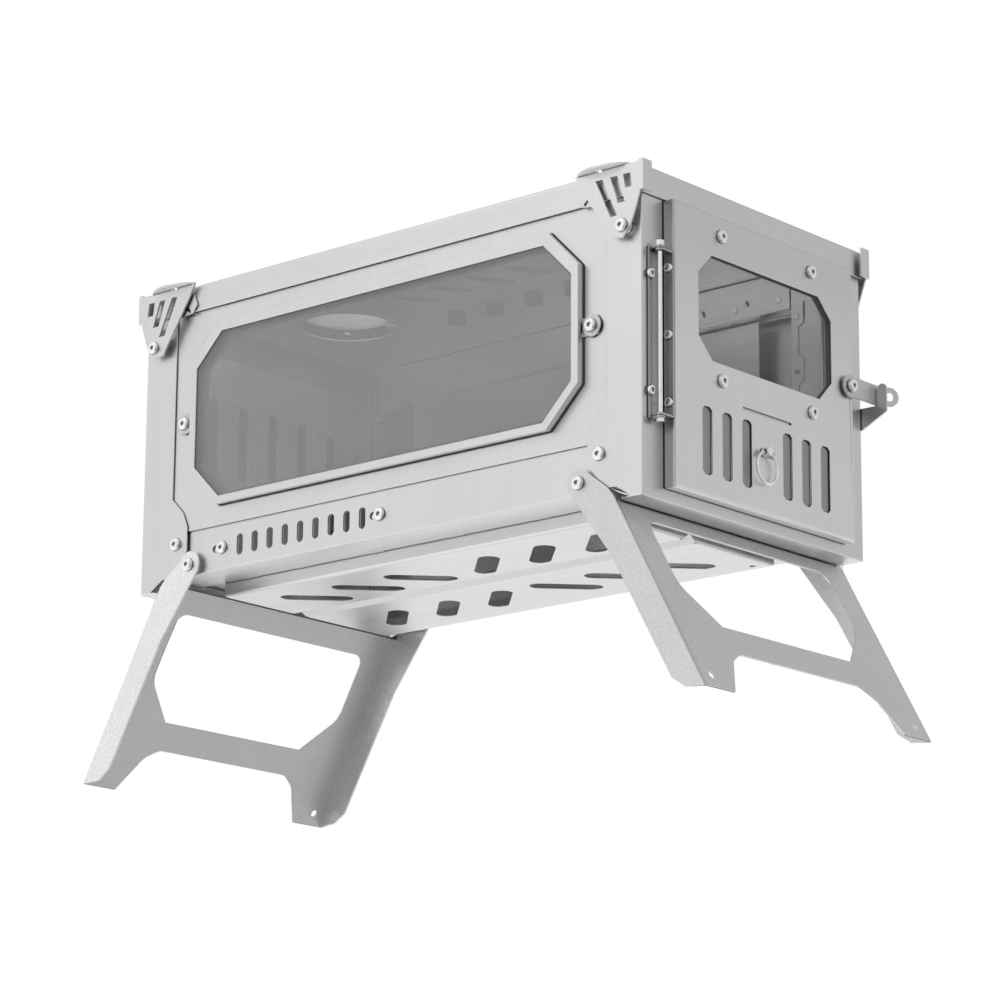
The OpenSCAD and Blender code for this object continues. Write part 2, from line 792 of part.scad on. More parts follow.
module bracket() {
    difference() {
        union() {
            plate_y(-bracket_y, bracket_t) difference() {
                bracket_part(bracket_shares);
                bracket_slots();
            }
            plate_z(body_h, bracket_t) intersection() {
                translate([half_l - bracket_l, -bracket_out]) square([bracket_flange_in, bracket_flange + bracket_t]);
                translate([half_l - bracket_l + bracket_flange_in / 2, bracket_arc_r - bracket_out])
                    circle(bracket_arc_r);
            }
            plate_x(bracket_lip_x - bracket_t, bracket_t)
                translate([-bracket_y, body_h - lid_lip]) square([bracket_lip_w, lid_lip + bracket_t]);
            plate_y(-bracket_y, bracket_t)
                translate([half_l, body_h - lid_lip]) square([bracket_lip_x - half_l, lid_lip + bracket_t]);
            plate_y(-half_w - play - bracket_t, bracket_t) difference() {
                bracket_part(bracket_ear_shares);
                translate([half_l - 0.8 * bracket_l, body_h - 0.34 * bracket_drop]) rotate(40)
                    obround(bracket_ear_slot_l, bracket_ear_slot_w);
            }
            plate_y(-bracket_y, bracket_y - half_w - play) bracket_part(bracket_joggle_shares);
        }
        plate_z(body_h - cut, bracket_t + 2 * cut)
            translate([half_l - bracket_hole_in, -bracket_hole_y]) circle(bracket_hole_r);
        hole_y(bracket_screw_x, bracket_tip_z, screw_hole);
    }
}

module corner_brackets() color("silver") both_ends() both_sides() bracket();

module bracket_spacers() color("lightgray") both_ends() both_sides()
    translate([bracket_screw_x, -frame_y, bracket_tip_z]) rotate([90, 0, 0])
        ring_spacer(screw_r + spacer_wall, screw_hole, bracket_off);

module bracket_screws() color("lightgray") both_ends() both_sides()
    translate([bracket_screw_x, -bracket_y, bracket_tip_z]) rotate([90, 0, 0])
        screw(screw_r, head_r, head_h, bracket_y - panel_y + sheet, true);

// Hinge

module hinge_ear(reach, turn) {
    difference() {
        union() {
            circle(hinge_ear_r);
            rotate(turn) translate([0, -hinge_ear_r]) square([reach, 2 * hinge_ear_r]);
        }
        circle(pin_r + pin_gap);
    }
}

module hinge_frame_leaf() color("silver") difference() {
    union() {
        plate_x(frame_x + play, hinge_t)
            translate([hinge_pin_y - hinge_leaf_w + hinge_ear_r, hinge_mid_z - hinge_h / 2])
                square([hinge_leaf_w, hinge_h]);
        for (z = [hinge_mid_z - hinge_h / 2, hinge_mid_z + hinge_h / 2 - hinge_t])
            translate([hinge_pin_x, hinge_pin_y, z]) linear_extrude(hinge_t)
                hinge_ear(hinge_off - play, 180);
    }
    for (s = [-1, 1]) hole_x(hinge_screw_y, hinge_mid_z + s * hinge_screw_span / 2, small_hole);
}

module hinge_frame_screws() color("lightgray") for (s = [-1, 1])
    translate([frame_x + play + hinge_t, hinge_screw_y, hinge_mid_z + s * hinge_screw_span / 2])
        rotate([0, 90, 0]) screw(small_r, small_head_r, small_head_h, play + hinge_t + sheet, true);

module hinge_door_leaf() color("silver") difference() {
    door_leaf_h = hinge_h - 2 * hinge_t - 2 * run_gap;
    union() {
        plate_y(-door_w / 2 - play - hinge_t, hinge_t)
            translate([hinge_pin_x - hinge_ear_r, hinge_mid_z - door_leaf_h / 2])
                square([2 * hinge_ear_r, door_leaf_h]);
        for (z = [hinge_mid_z - door_leaf_h / 2, hinge_mid_z + door_leaf_h / 2 - hinge_t])
            translate([hinge_pin_x, hinge_pin_y, z]) linear_extrude(hinge_t)
                hinge_ear(hinge_clear - play, 90);
    }
    for (i = [-1 : 1]) hole_door_side(hinge_mid_z + i * hinge_door_screw_span);
}

module hole_door_side(z) {
    translate([hinge_pin_x, -door_w / 2, z]) rotate([90, 0, 0])
        cylinder(r = small_hole, h = 2 * hinge_clear, center = true);
}

module hinge_door_screws() color("lightgray") for (i = [-1 : 1])
    translate([hinge_pin_x, -door_w / 2 - play - hinge_t, hinge_mid_z + i * hinge_door_screw_span])
        rotate([90, 0, 0]) screw(small_r, small_head_r - run_gap, small_head_h, play + hinge_t + sheet, false);

module hinge_pin() color("lightgray") translate([hinge_pin_x, hinge_pin_y, hinge_mid_z - hinge_h / 2]) {
    cylinder(r = pin_r, h = hinge_h);
    translate([0, 0, hinge_h]) cylinder(r = pin_head_r, h = pin_head_h);
    translate([0, 0, -nut_h]) cylinder(r = pin_head_r, h = nut_h, $fn = 6);
}

// Door

module door_window(over) {
    translate([0, door_win_z - over])
        cut_rect(door_win_w + 2 * over, door_win_h + 2 * over, door_win_cut);
}

air_at = [for (s = [-1, 1], i = [0 : 2]) s * (air_first + i * air_pitch)];

module air_slot() {
    polygon([
        [-air_w / 2, air_tip], [-air_w / 4, 0], [air_w / 4, 0], [air_w / 2, air_tip],
        [air_w / 2, air_h - air_tip], [air_w / 4, air_h], [-air_w / 4, air_h], [-air_w / 2, air_h - air_tip]
    ]);
}

door_screw_at = [for (s = [-1, 1], z = [door_win_z - door_screw_low, door_win_z + door_win_h + door_screw_high])
    [s * door_screw_y, z]];

module door_panel() color("lightgray") difference() {
    translate([door_back_x, 0, door_z + door_h / 2]) rotate([0, 90, 0])
        folded_tray(door_h, door_w, door_depth, sheet, bend_r);
    plate_x(door_face_x - sheet - cut, sheet + 2 * cut) {
        door_window(0);
        for (y = air_at) translate([y, air_z]) air_slot();
        translate([0, slit_z]) square([slit_l, slit_w], center = true);
        translate([0, knob_z])
            obround(air_travel + 2 * (knob_stem_r + run_gap), 2 * (knob_stem_r + run_gap));
        for (p = door_screw_at) translate(p) circle(screw_hole);
        translate([lever_y, lever_z]) circle(screw_hole);
    }
    for (i = [-1 : 1]) hole_door_side(hinge_mid_z + i * hinge_door_screw_span);
}

door_glass_x = door_face_x - sheet - play - glass_t;

module door_glass() color("lightblue", 0.4) plate_x(door_glass_x, glass_t) door_window(door_glass_over);

module door_retainer() color("silver") plate_x(door_glass_x - play - sheet, sheet) difference() {
    translate([0, door_win_z + door_win_h / 2 + (door_screw_high - door_screw_low) / 2])
        square([door_win_w + 4 * door_glass_over / 2, door_win_h + door_screw_low + door_screw_high + 2 * head_r],
            center = true);
    door_window(sheet);
    for (p = door_screw_at) translate(p) circle(screw_hole);
}

module door_screws() color("lightgray") for (p = door_screw_at)
    translate([door_face_x, p[0], p[1]]) rotate([0, 90, 0])
        screw(screw_r, head_r, head_h, 2 * sheet + 2 * play + glass_t, false);

door_slider_h = air_h + 2 * door_slider_margin;
door_slider_z = air_z - door_slider_margin;
door_slider_half = air_first + 2 * air_pitch + door_slider_over;

// Drawn shut: a slide of half a pitch towards +Y brings its slots behind those of the door
module door_slider() color("gray") plate_x(door_slider_x, sheet) difference() {
    translate([-air_travel / 2 - door_slider_half, door_slider_z]) square([2 * door_slider_half, door_slider_h]);
    for (y = air_at) translate([y - air_travel, air_z]) air_slot();
    translate([knob_y, knob_z]) circle(knob_stem_r + pin_gap);
}

module slider_guides() color("silver") for (top = [0, 1]) {
    z = top == 1 ? door_slider_z + door_slider_h + run_gap : door_slider_z - run_gap - guide_lap;
    lip = top == 1 ? z - guide_lap - run_gap : z;
    l = 2 * door_slider_half + air_travel;
    plate_x(door_slider_x - run_gap, sheet + 2 * run_gap - play) translate([-l / 2, z]) square([l, guide_lap]);
    plate_x(door_slider_x - run_gap - sheet, sheet)
        translate([-l / 2, lip]) square([l, 2 * guide_lap + run_gap]);
}

module slider_knob() color("lightgray") translate([door_slider_x - sheet, knob_y, knob_z]) {
    rotate([0, 90, 0]) cylinder(r = knob_r, h = sheet);
    rotate([0, 90, 0]) cylinder(r = knob_stem_r, h = door_face_x + run_gap - door_slider_x + sheet);
    translate([door_face_x + run_gap - door_slider_x + sheet, 0, 0]) difference() {
        rotate([0, 90, 0]) cylinder(r = knob_r, h = 2 * knob_reach);
        translate([knob_reach, 0, 0]) rotate([90, 0, 0]) cylinder(r = knob_bore_r, h = 4 * knob_r, center = true);
    }
}

module pull_ring() color("silver")
    translate([door_face_x + run_gap + knob_reach, knob_y, knob_z - ring_mid_r]) rotate([0, 90, 0])
        rotate_extrude() translate([ring_mid_r, 0]) circle(wire_r);

// Latch

module latch_screw() color("lightgray")
    translate([lever_x + lever_t + run_gap, lever_y, lever_z]) rotate([0, 90, 0])
        screw(screw_r, head_r, head_h, lever_t + run_gap + lever_gap + sheet, false);

module latch_spacer() color("lightgray")
    translate([door_face_x, lever_y, lever_z]) rotate([0, 90, 0])
        ring_spacer(screw_r + spacer_wall, screw_hole, lever_gap - run_gap);

// The tip's strip starts a little inside the arm, so that the two join at the bend
module lever_tip() {
    translate([lever_x + lever_nip, lever_bend_y - lever_nip, lever_z]) rotate([0, 0, -eye_bend]) children();
}

module latch_lever() color("silver") difference() {
    union() {
        plate_x(lever_x, lever_t) {
            translate([lever_y, lever_z]) circle(lever_end_r);
            translate([lever_y, lever_z - arm_h / 2]) square([arm_l, arm_h]);
        }
        lever_tip() plate_x(0, lever_t) {
            translate([eye_out, 0]) circle(eye_r);
            translate([0, lever_nip - arm_h / 2]) square([eye_out - eye_r / 2, arm_h - 2 * lever_nip]);
        }
    }
    lever_tip() translate([0, eye_out, 0]) rotate([0, 90, 0])
        cylinder(r = eye_hole_r, h = 4 * lever_t, center = true);
    hole_x(lever_y, lever_z, screw_hole);
}

function keeper_screw_at() = [for (i = [0, 1])
    [frame_x - keeper_screw_in + i * keeper_screw_in / 2, notch_z - keeper_screw_drop - i * keeper_screw_drop]];

module latch_keeper() color("dimgray") difference() {
    plate_y(keeper_y, keeper_t) {
        polygon([
            [frame_x - keeper_back, notch_z], [tab_x, notch_z], [tab_x + tab_w, notch_z],
            [tab_x + tab_w, notch_z - keeper_drop / 3], [frame_x, notch_z - keeper_drop],
            [frame_x - keeper_back, notch_z - keeper_drop]
        ]);
        translate([tab_x, notch_z - sheet]) square([tab_w, tab_h - tab_w / 2 + sheet]);
        translate([tab_x + tab_w / 2, notch_z + tab_h - tab_w / 2]) circle(tab_w / 2);
    }
    for (p = keeper_screw_at()) hole_y(p[0], p[1], small_hole);
}

module keeper_screws() color("lightgray") for (p = keeper_screw_at())
    translate([p[0], keeper_y + keeper_t, p[1]]) rotate([-90, 0, 0])
        screw(small_r, small_head_r, small_head_h, keeper_t + play + sheet, false);

// Legs

module leg_web() {
    difference() {
        translate([-leg_w / 2, -leg_end]) square([leg_w, leg_end - leg_web_top]);
        leg_window();
        foot_notch();
        for (s = [-1, 1]) translate([s * (leg_w / 2 - peg_in), -leg_end + peg_up]) circle(peg_r);
    }
}

module leg_window() {
    half = leg_w / 2 - leg_side;
    low = -leg_end + leg_foot + leg_bar;
    high = -leg_web_top - leg_head;
    polygon([
        [-half + leg_diag_y, low], [half - leg_diag_y, low], [half, low + leg_diag_z],
        [half, high - leg_corner_r], [-half, high - leg_corner_r], [-half, low + leg_diag_z]
    ]);
    translate([0, high - leg_corner_r]) square([2 * (half - leg_corner_r), 2 * leg_corner_r], center = true);
    for (s = [-1, 1]) translate([s * (half - leg_corner_r), high - leg_corner_r]) circle(leg_corner_r);
}

module foot_notch() {
    half = leg_w / 2 - foot_flat;
    high = -leg_end + leg_foot;
    polygon([
        [-half, -leg_end - cut], [half, -leg_end - cut], [half - foot_slope_y, high - foot_step_z],
        [half - foot_slope_y - foot_step_y, high], [-half + foot_slope_y + foot_step_y, high],
        [-half + foot_slope_y, high - foot_step_z]
    ]);
}

module leg_side_outline() {
    circle(ear_r);
    polygon([
        [ear_r, 0], [web_off, -leg_web_top], [web_off, -leg_end], [web_off - leg_t, -leg_end],
        [web_off - 0.7 * leg_edge, -leg_end + leg_edge / 2.4], [web_off - leg_edge, -leg_end + leg_edge],
        [web_off - leg_edge - leg_t / 1.5, -leg_web_top - 2 * leg_head], [-ear_r, 0]
    ]);
}

module leg() {
    translate([pivot_x, 0, pivot_z]) rotate([0, -splay, 0]) {
        plate_x(web_off - leg_t, leg_t) leg_web();
        both_sides() plate_y(-leg_w / 2, leg_t) difference() {
            leg_side_outline();
            circle(screw_hole);
        }
    }
}

module front_leg() color("silver") leg();

module rear_leg() color("silver") mirror([1, 0, 0]) leg();

module leg_spacers() color("lightgray") both_ends() both_sides()
    translate([pivot_x, -rail_y, pivot_z]) rotate([90, 0, 0])
        ring_spacer(leg_spacer_r, screw_hole, leg_y - run_gap - rail_y);

module leg_screws() color("lightgray") both_ends() both_sides()
    translate([pivot_x, -leg_w / 2 - run_gap, pivot_z]) rotate([90, 0, 0])
        screw(screw_r, head_r, head_h, leg_w / 2 + run_gap - rail_y + sheet, true);

placed() front_frame();
placed() rear_frame();
placed() left_panel();
placed() right_panel();
placed() left_rail();
placed() right_rail();
placed() floor_pan();
placed() lid();
placed() flue_collar();
placed() flue_screws();
placed() corner_brackets();
placed() bracket_screws();
placed() bracket_spacers();
placed() rail_screws();
placed() window_bezel();
placed() window_glass();
placed() bezel_screws();
placed() bezel_washers();
placed() ceiling_baffle();
placed() baffle_screws();
placed() baffle_spacers();
placed() air_channel();
placed() right_liner();
placed() rear_shield();
placed() hinge_frame_leaf();
placed() hinge_frame_screws();
placed() hinge_pin();
placed() latch_keeper();
placed() keeper_screws();
placed() leg_screws();
placed() leg_spacers();
placed() vent_slider();
placed() vent_slider_screws();
placed() door_panel();
placed() door_glass();
placed() door_retainer();
placed() door_screws();
placed() slider_guides();
placed() hinge_door_leaf();
placed() hinge_door_screws();
placed() latch_screw();
placed() latch_spacer();
placed() door_slider();
placed() slider_knob();
placed() pull_ring();
placed() latch_lever();
placed() front_leg();
placed() rear_leg();
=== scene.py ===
import math

import bpy
from bpy.props import FloatProperty, FloatVectorProperty, PointerProperty
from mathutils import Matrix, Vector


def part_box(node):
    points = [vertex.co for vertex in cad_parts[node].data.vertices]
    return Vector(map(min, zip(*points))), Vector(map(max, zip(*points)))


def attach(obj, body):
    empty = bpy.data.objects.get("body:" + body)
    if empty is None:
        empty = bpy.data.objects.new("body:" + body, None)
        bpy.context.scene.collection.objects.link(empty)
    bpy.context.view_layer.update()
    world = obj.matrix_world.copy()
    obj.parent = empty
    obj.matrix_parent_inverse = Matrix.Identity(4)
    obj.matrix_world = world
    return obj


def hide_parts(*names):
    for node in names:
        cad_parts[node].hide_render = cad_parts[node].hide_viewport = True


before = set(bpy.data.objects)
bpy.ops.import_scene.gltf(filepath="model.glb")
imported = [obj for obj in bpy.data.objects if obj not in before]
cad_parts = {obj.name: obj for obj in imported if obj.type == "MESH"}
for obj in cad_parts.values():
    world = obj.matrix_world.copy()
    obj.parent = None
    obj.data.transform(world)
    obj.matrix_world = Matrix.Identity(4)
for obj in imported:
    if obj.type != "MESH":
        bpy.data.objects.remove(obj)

bl_info = {
    "name": "Tent wood stove finish",
    "version": (1, 0, 0),
    "blender": (4, 5, 0),
    "location": "3D View > Sidebar > Stove",
    "description": "Dresses the tent wood stove: rounded sheet edges, brushed steel, glass, seals "
                   "and its studio",
    "category": "Object",
}

MM = 0.001


# Sizes and colours that a user would change

class StoveEdges(bpy.types.PropertyGroup):
    sheet: FloatProperty(
        name="Sheet edge", description="Rounding of the cut edges of the body sheets",
        default=0.22 * MM, unit="LENGTH")
    fold: FloatProperty(
        name="Fold edge", description="Rounding of the edges of the lid, bezel, door and legs",
        default=0.3 * MM, unit="LENGTH")
    bend: FloatProperty(
        name="Corner bend", description="Rounding of the folds of the end frames and walls",
        default=0.9 * MM, unit="LENGTH")
    small: FloatProperty(
        name="Small edge", description="Rounding of screws, spacers and hinge parts",
        default=0.15 * MM, unit="LENGTH")


class StoveColours(bpy.types.PropertyGroup):
    body: FloatVectorProperty(
        name="Body steel", description="Brushed sheet of the body",
        subtype="COLOR", size=3, default=(0.73, 0.72, 0.73), min=0, max=1)
    # Paler than the body steel as painted light, the counterpart of the painted shade at the door's top
    door: FloatVectorProperty(
        name="Door steel", description="Brushed sheet of the door",
        subtype="COLOR", size=3, default=(0.80, 0.795, 0.805), min=0, max=1)
    # Paler than the body steel as painted light: it stands in for light that the few bounces inside the
    # firebox do not bring
    inner: FloatVectorProperty(
        name="Inner steel", description="Duller sheet inside the firebox",
        subtype="COLOR", size=3, default=(0.88, 0.88, 0.89), min=0, max=1)
    leg: FloatVectorProperty(
        name="Leg steel", description="Grainy blasted sheet of the legs",
        subtype="COLOR", size=3, default=(0.77, 0.77, 0.78), min=0, max=1)
    screw: FloatVectorProperty(
        name="Screw steel", description="Bright steel of screws and pins",
        subtype="COLOR", size=3, default=(0.97, 0.965, 0.96), min=0, max=1)
    fitting: FloatVectorProperty(
        name="Fitting steel", description="Steel of keeper, lever and washers",
        subtype="COLOR", size=3, default=(0.62, 0.62, 0.63), min=0, max=1)
    slide: FloatVectorProperty(
        name="Slide steel", description="Sooty sheet of the air slide",
        subtype="COLOR", size=3, default=(0.36, 0.36, 0.37), min=0, max=1)
    # The seal's colour also paints the shadow strip at the bezel's foot
    seal: FloatVectorProperty(
        name="Seal", description="Dark rope seals of the side window",
        subtype="COLOR", size=3, default=(0.06, 0.06, 0.065), min=0, max=1)
    glass: FloatVectorProperty(
        name="Glass", description="Grey veil of the fire glass",
        subtype="COLOR", size=3, default=(0.62, 0.61, 0.62), min=0, max=1)


class StoveStudio(bpy.types.PropertyGroup):
    lens: FloatProperty(
        name="Lens", description="Focal length of the camera on a 36 mm sensor, in millimetres",
        default=133.811, min=10)
    place: FloatVectorProperty(
        name="Camera place", description="Where the camera stands",
        subtype="TRANSLATION", size=3, default=(1.43921, -1.646762, -0.39654), unit="LENGTH")
    turn: FloatVectorProperty(
        name="Camera turn", description="Turn of the camera about x, y and z", subtype="EULER", size=3,
        default=(math.radians(104.3472), math.radians(-0.4023), math.radians(40.99)))
    floor: FloatProperty(
        name="Floor size", description="Side of the pale floor", default=12.0, unit="LENGTH")
    key: FloatProperty(
        name="Key lamp", description="Power of the soft lamp above", default=10.0, min=0)


def edges():
    return bpy.context.scene.stove_edges


def colours():
    return bpy.context.scene.stove_colours


def studio():
    return bpy.context.scene.stove_studio


# Shader maths: a wrapped socket, whose operators add the nodes

NOISE_RANGE = (0.3, 0.7)
FINE_BRUSHING = {"along": 9.0, "across": 1100.0}
BROAD_BRUSHING = {"along": 3.0, "across": 160.0}
# Painted shade from ambient occlusion along seams and round screw heads: its reach, range and darkest share
SEAM_SHADE_REACH = 1.3 * MM
SEAM_SHADE_RANGE = (0.52, 0.86)
SEAM_SHADE_DARKEST = 0.2


class Value:
    """A socket of a node, for sums and products of values that vary over a surface."""

    def __init__(self, finish, socket):
        self.finish = finish
        self.socket = socket

    def __add__(self, other):
        return self.finish.maths("ADD", self, other)

    def __radd__(self, other):
        return self.finish.maths("ADD", other, self)

    def __sub__(self, other):
        return self.finish.maths("SUBTRACT", self, other)

    def __rsub__(self, other):
        return self.finish.maths("SUBTRACT", other, self)

    def __mul__(self, other):
        return self.finish.maths("MULTIPLY", self, other)

    def __rmul__(self, other):
        return self.finish.maths("MULTIPLY", other, self)

    def most(self, other):
        return self.finish.maths("MAXIMUM", self, other)

    def least(self, other):
        return self.finish.maths("MINIMUM", self, other)


class Finish:
    """The node tree of one material or of the world."""

    def __init__(self, owner):
        owner.use_nodes = True
        self.owner = owner
        self.tree = owner.node_tree
        self.tree.nodes.clear()

    def add(self, kind, settings=None, inputs=None, output=0):
        """A node of this type, with its settings and then the values or links of its sockets."""
        node = self.tree.nodes.new(kind)
        for key, value in (settings or {}).items():
            setattr(node, key, value)
        for key, value in (inputs or {}).items():
            if isinstance(value, Value):
                self.tree.links.new(value.socket, node.inputs[key])
            elif value is not None:
                node.inputs[key].default_value = value
        return Value(self, node.outputs[output]) if node.outputs else None

    def maths(self, operation, first, second):
        return self.add("ShaderNodeMath", {"operation": operation}, {0: first, 1: second})

    def noise(self, size, detail=2.0, rough=0.5):
        """Noise on the piece; size is one scale, or three along the axes."""
        scales = size if isinstance(size, tuple) else (size, size, size)
        where = self.add("ShaderNodeTexCoord", output="Object")
        drawn = self.add("ShaderNodeMapping", {"vector_type": "POINT"}, {"Vector": where, "Scale": scales})
        return self.add("ShaderNodeTexNoise", {"noise_dimensions": "3D"},
                        {"Vector": drawn, "Scale": 1.0, "Detail": detail, "Roughness": rough})

    def around(self, value, amount, middle=0.0):
        """Noise turned into values on both sides of a middle."""
        return self.spread(value, *NOISE_RANGE, middle - amount, middle + amount)

    def spread(self, value, low, high, out_low, out_high):
        """The range of a value drawn out to another range."""
        return self.add("ShaderNodeMapRange", {"clamp": True},
                        {"Value": value, "From Min": low, "From Max": high,
                         "To Min": out_low, "To Max": out_high})

    def tinted(self, colour, value):
        """A colour times a value that varies over the surface."""
        return self.add("ShaderNodeVectorMath", {"operation": "SCALE"}, {0: tuple(colour), "Scale": value})

    def bump(self, height, strength, distance):
        return self.add("ShaderNodeBump", None,
                        {"Height": height, "Strength": strength, "Distance": distance}, "Normal")

    def steel(self, base, rough, normal):
        return self.add("ShaderNodeBsdfPrincipled", None,
                        {"Base Color": base, "Metallic": 1.0, "Roughness": rough, "Normal": normal})

    def seam(self):
        """One on open sheet, and darker along seams, in corners and round screw heads, where ambient
        occlusion finds them: painted shade.
        """
        near = self.add("ShaderNodeAmbientOcclusion", {"samples": 6}, {"Distance": SEAM_SHADE_REACH}, "AO")
        return self.spread(near, *SEAM_SHADE_RANGE, SEAM_SHADE_DARKEST, 1.0)

    def ramp(self, axis, low, high, out_low, out_high):
        """A value that changes with the place on one axis."""
        where = self.add("ShaderNodeTexCoord", output="Object")
        part = self.add("ShaderNodeSeparateXYZ", None, {"Vector": where}, axis)
        return self.spread(part, low, high, out_low, out_high)

    def surface(self, shader):
        is_world = isinstance(self.owner, bpy.types.World)
        kind = "ShaderNodeOutputWorld" if is_world else "ShaderNodeOutputMaterial"
        self.add(kind, None, {"Surface": shader})


def new_finish(name):
    return Finish(bpy.data.materials.new(name))


def brushed(name, colour, brush, rough=0.36, depth=0.025, ramps=()):
    """Sheet with faint brushing; brush is the axis that the brush ran along."""
    finish = new_finish(name)
    ways = ["along" if axis == brush else "across" for axis in "xyz"]
    lines = finish.noise(tuple(FINE_BRUSHING[way] for way in ways), 3.0)
    broad = finish.noise(tuple(BROAD_BRUSHING[way] for way in ways), 2.0)
    cloud = finish.noise(14.0, 3.0)
    shade = finish.around(lines, 0.018) + finish.around(broad, 0.015) + finish.around(cloud, 0.02, 0.995)
    for ramp in ramps:
        shade = shade * finish.ramp(*ramp)
    gloss = finish.around(broad, 0.04, rough) + finish.around(cloud, 0.025, 0.005)
    # The colour carries painted shade from ambient occlusion along seams
    tone_with_painted_shade = finish.tinted(colour, shade * finish.seam())
    finish.surface(finish.steel(tone_with_painted_shade, gloss, finish.bump(lines, depth, 0.05 * MM)))
    return finish.owner


def blasted(name, colour, rough=0.38, depth=0.1, grain=900.0, speckle=0.07, ramps=()):
    """Sheet with a fine grain, as from glass beads."""
    finish = new_finish(name)
    fine = finish.noise(grain, 3.0, 0.65)
    coarse = finish.noise(grain / 3, 2.0)
    cloud = finish.noise(18.0, 3.0)
    shade = finish.around(fine, speckle) + finish.around(coarse, 0.04) + finish.around(cloud, 0.025, 0.995)
    for ramp in ramps:
        shade = shade * finish.ramp(*ramp)
    gloss = finish.around(coarse, 0.05, rough)
    # The colour carries painted shade from ambient occlusion along seams
    tone_with_painted_shade = finish.tinted(colour, shade * finish.seam())
    finish.surface(finish.steel(tone_with_painted_shade, gloss, finish.bump(fine, depth, 0.1 * MM)))
    return finish.owner


def turned(name, colour, rough=0.12):
    """Bright steel of small turned and plated parts, with a few handling marks."""
    finish = new_finish(name)
    marks = finish.noise(420.0, 4.0, 0.6)
    shade = finish.spread(marks, 0.35, 0.75, 1.02, 0.9)
    gloss = finish.spread(marks, 0.35, 0.75, rough - 0.03, rough + 0.12)
    # The colour carries painted shade from ambient occlusion along seams and round screw heads
    tone_with_painted_shade = finish.tinted(colour, shade * finish.seam())
    finish.surface(finish.steel(tone_with_painted_shade, gloss, finish.bump(marks, 0.04, 0.05 * MM)))
    return finish.owner


def fire_glass(name, colour, veil, rough=0.05):
    """Clear glass with a faint cloudy veil of soot, denser where it is seen at a slant."""
    finish = new_finish(name)
    cloud = finish.noise((9.0, 9.0, 16.0), 3.0)
    body = finish.add("ShaderNodeBsdfPrincipled", None,
                      {"Base Color": (*colour, 1.0), "Metallic": 0.0, "Roughness": rough, "IOR": 1.5})
    clear = finish.add("ShaderNodeBsdfTransparent", None, {"Color": (0.99, 0.99, 0.99, 1.0)})
    slant = finish.add("ShaderNodeLayerWeight", None, {"Blend": 0.5}, "Facing")
    glance = finish.maths("POWER", slant, 4.0)
    cover = finish.around(cloud, 0.035, veil + 0.005) + glance * 0.6
    finish.surface(finish.add("ShaderNodeMixShader", None, {0: cover.least(1.0), 1: clear, 2: body}))
    return finish.owner


def rope_seal_and_shadow(name, colour):
    """Dark woven seal between glass and steel; the same dark finish paints the shadow strip at the bezel's
    foot.
    """
    finish = new_finish(name)
    weave = finish.noise(1500.0, 2.0)
    shade = finish.around(weave, 0.4, 1.1)
    finish.surface(finish.add("ShaderNodeBsdfPrincipled", None,
                              {"Base Color": finish.tinted(colour, shade), "Roughness": 0.9,
                               "Normal": finish.bump(weave, 0.4, 0.2 * MM)}))
    return finish.owner


# Painted shade on the door: start above its foot and end below its top of the darkening, and the share at
# the top; then reach and share of its dark folded side
DOOR_TOP_PAINTED_SHADE = (80 * MM, 18 * MM, 0.87)
DOOR_SIDE_PAINTED_SHADE = (0.1 * MM, 1.2 * MM, 0.66)
# How far the legs' folded sides reach, which take painted shade and light
LEG_SIDE = (1.4 * MM, 2.8 * MM)


def door_painted_shade():
    """Painted shade: the door darkens towards its top, and its folded side by the hinge is painted dark."""
    low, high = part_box("door_panel")
    start, drop, top_shade = DOOR_TOP_PAINTED_SHADE
    outer, inner, side_shade = DOOR_SIDE_PAINTED_SHADE
    return (("Z", low[2] + start, high[2] - drop, 1.0, top_shade),
            ("Y", low[1] + outer, low[1] + inner, side_shade, 1.0))


def leg_painted_shade(web, side):
    """Painted shade and light: shares of the leg's colour on its web and on its two folded sides."""
    low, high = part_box("front_leg")
    outer, inner = LEG_SIDE
    return (("Y", low[1] + outer, low[1] + inner, side, web),
            ("Y", high[1] - inner, high[1] - outer, 1.0, side / web))


# Grainy leg steel whose colour also carries painted shade and light on its web and folded sides
def grainy_leg_with_painted_shade(name, colour, speckle, web, side):
    return blasted(name, colour, 0.42, 0.35, 1500.0, speckle, leg_painted_shade(web, side))


def material(name):
    """One of the stove's finishes, made the first time that it is asked for."""
    found = bpy.data.materials.get(name)
    if found:
        return found
    c = colours()
    makers = {
        "body_upright": lambda: brushed(name, c.body, "z"),
        "body_lengthwise": lambda: brushed(name, c.body, "x"),
        # The door's colour carries painted shade: darker towards its top and on its folded side
        "door_upright": lambda: brushed(name, c.door, "z", ramps=door_painted_shade()),
        "inner_dull": lambda: brushed(name, c.inner, "x", rough=0.3, depth=0.01),
        "slide_dark": lambda: brushed(name, c.slide, "z", rough=0.4, depth=0.02),
        # Both legs carry painted shade and light on web and sides; the rear leg's finish is a lit and
        # shaded copy of the front's
        "grainy_leg_with_painted_shade": lambda: grainy_leg_with_painted_shade(name, c.leg, speckle=0.13, web=0.98, side=0.88),
        "grainy_rear_leg_with_painted_shade": lambda: grainy_leg_with_painted_shade(name, c.leg, speckle=0.17, web=0.8, side=1.12),
        "fitting_dull": lambda: blasted(name, c.fitting),
        "screw_bright": lambda: turned(name, c.screw),
        "side_glass": lambda: fire_glass(name, c.glass, veil=0.31),
        "door_pane": lambda: fire_glass(name, c.glass, veil=0.09),
        # The dark seal finish, also used for the painted shadow strip at the bezel's foot
        "seal_and_shadow_dark": lambda: rope_seal_and_shadow(name, c.seal),
    }
    return makers[name]()


# Shaping

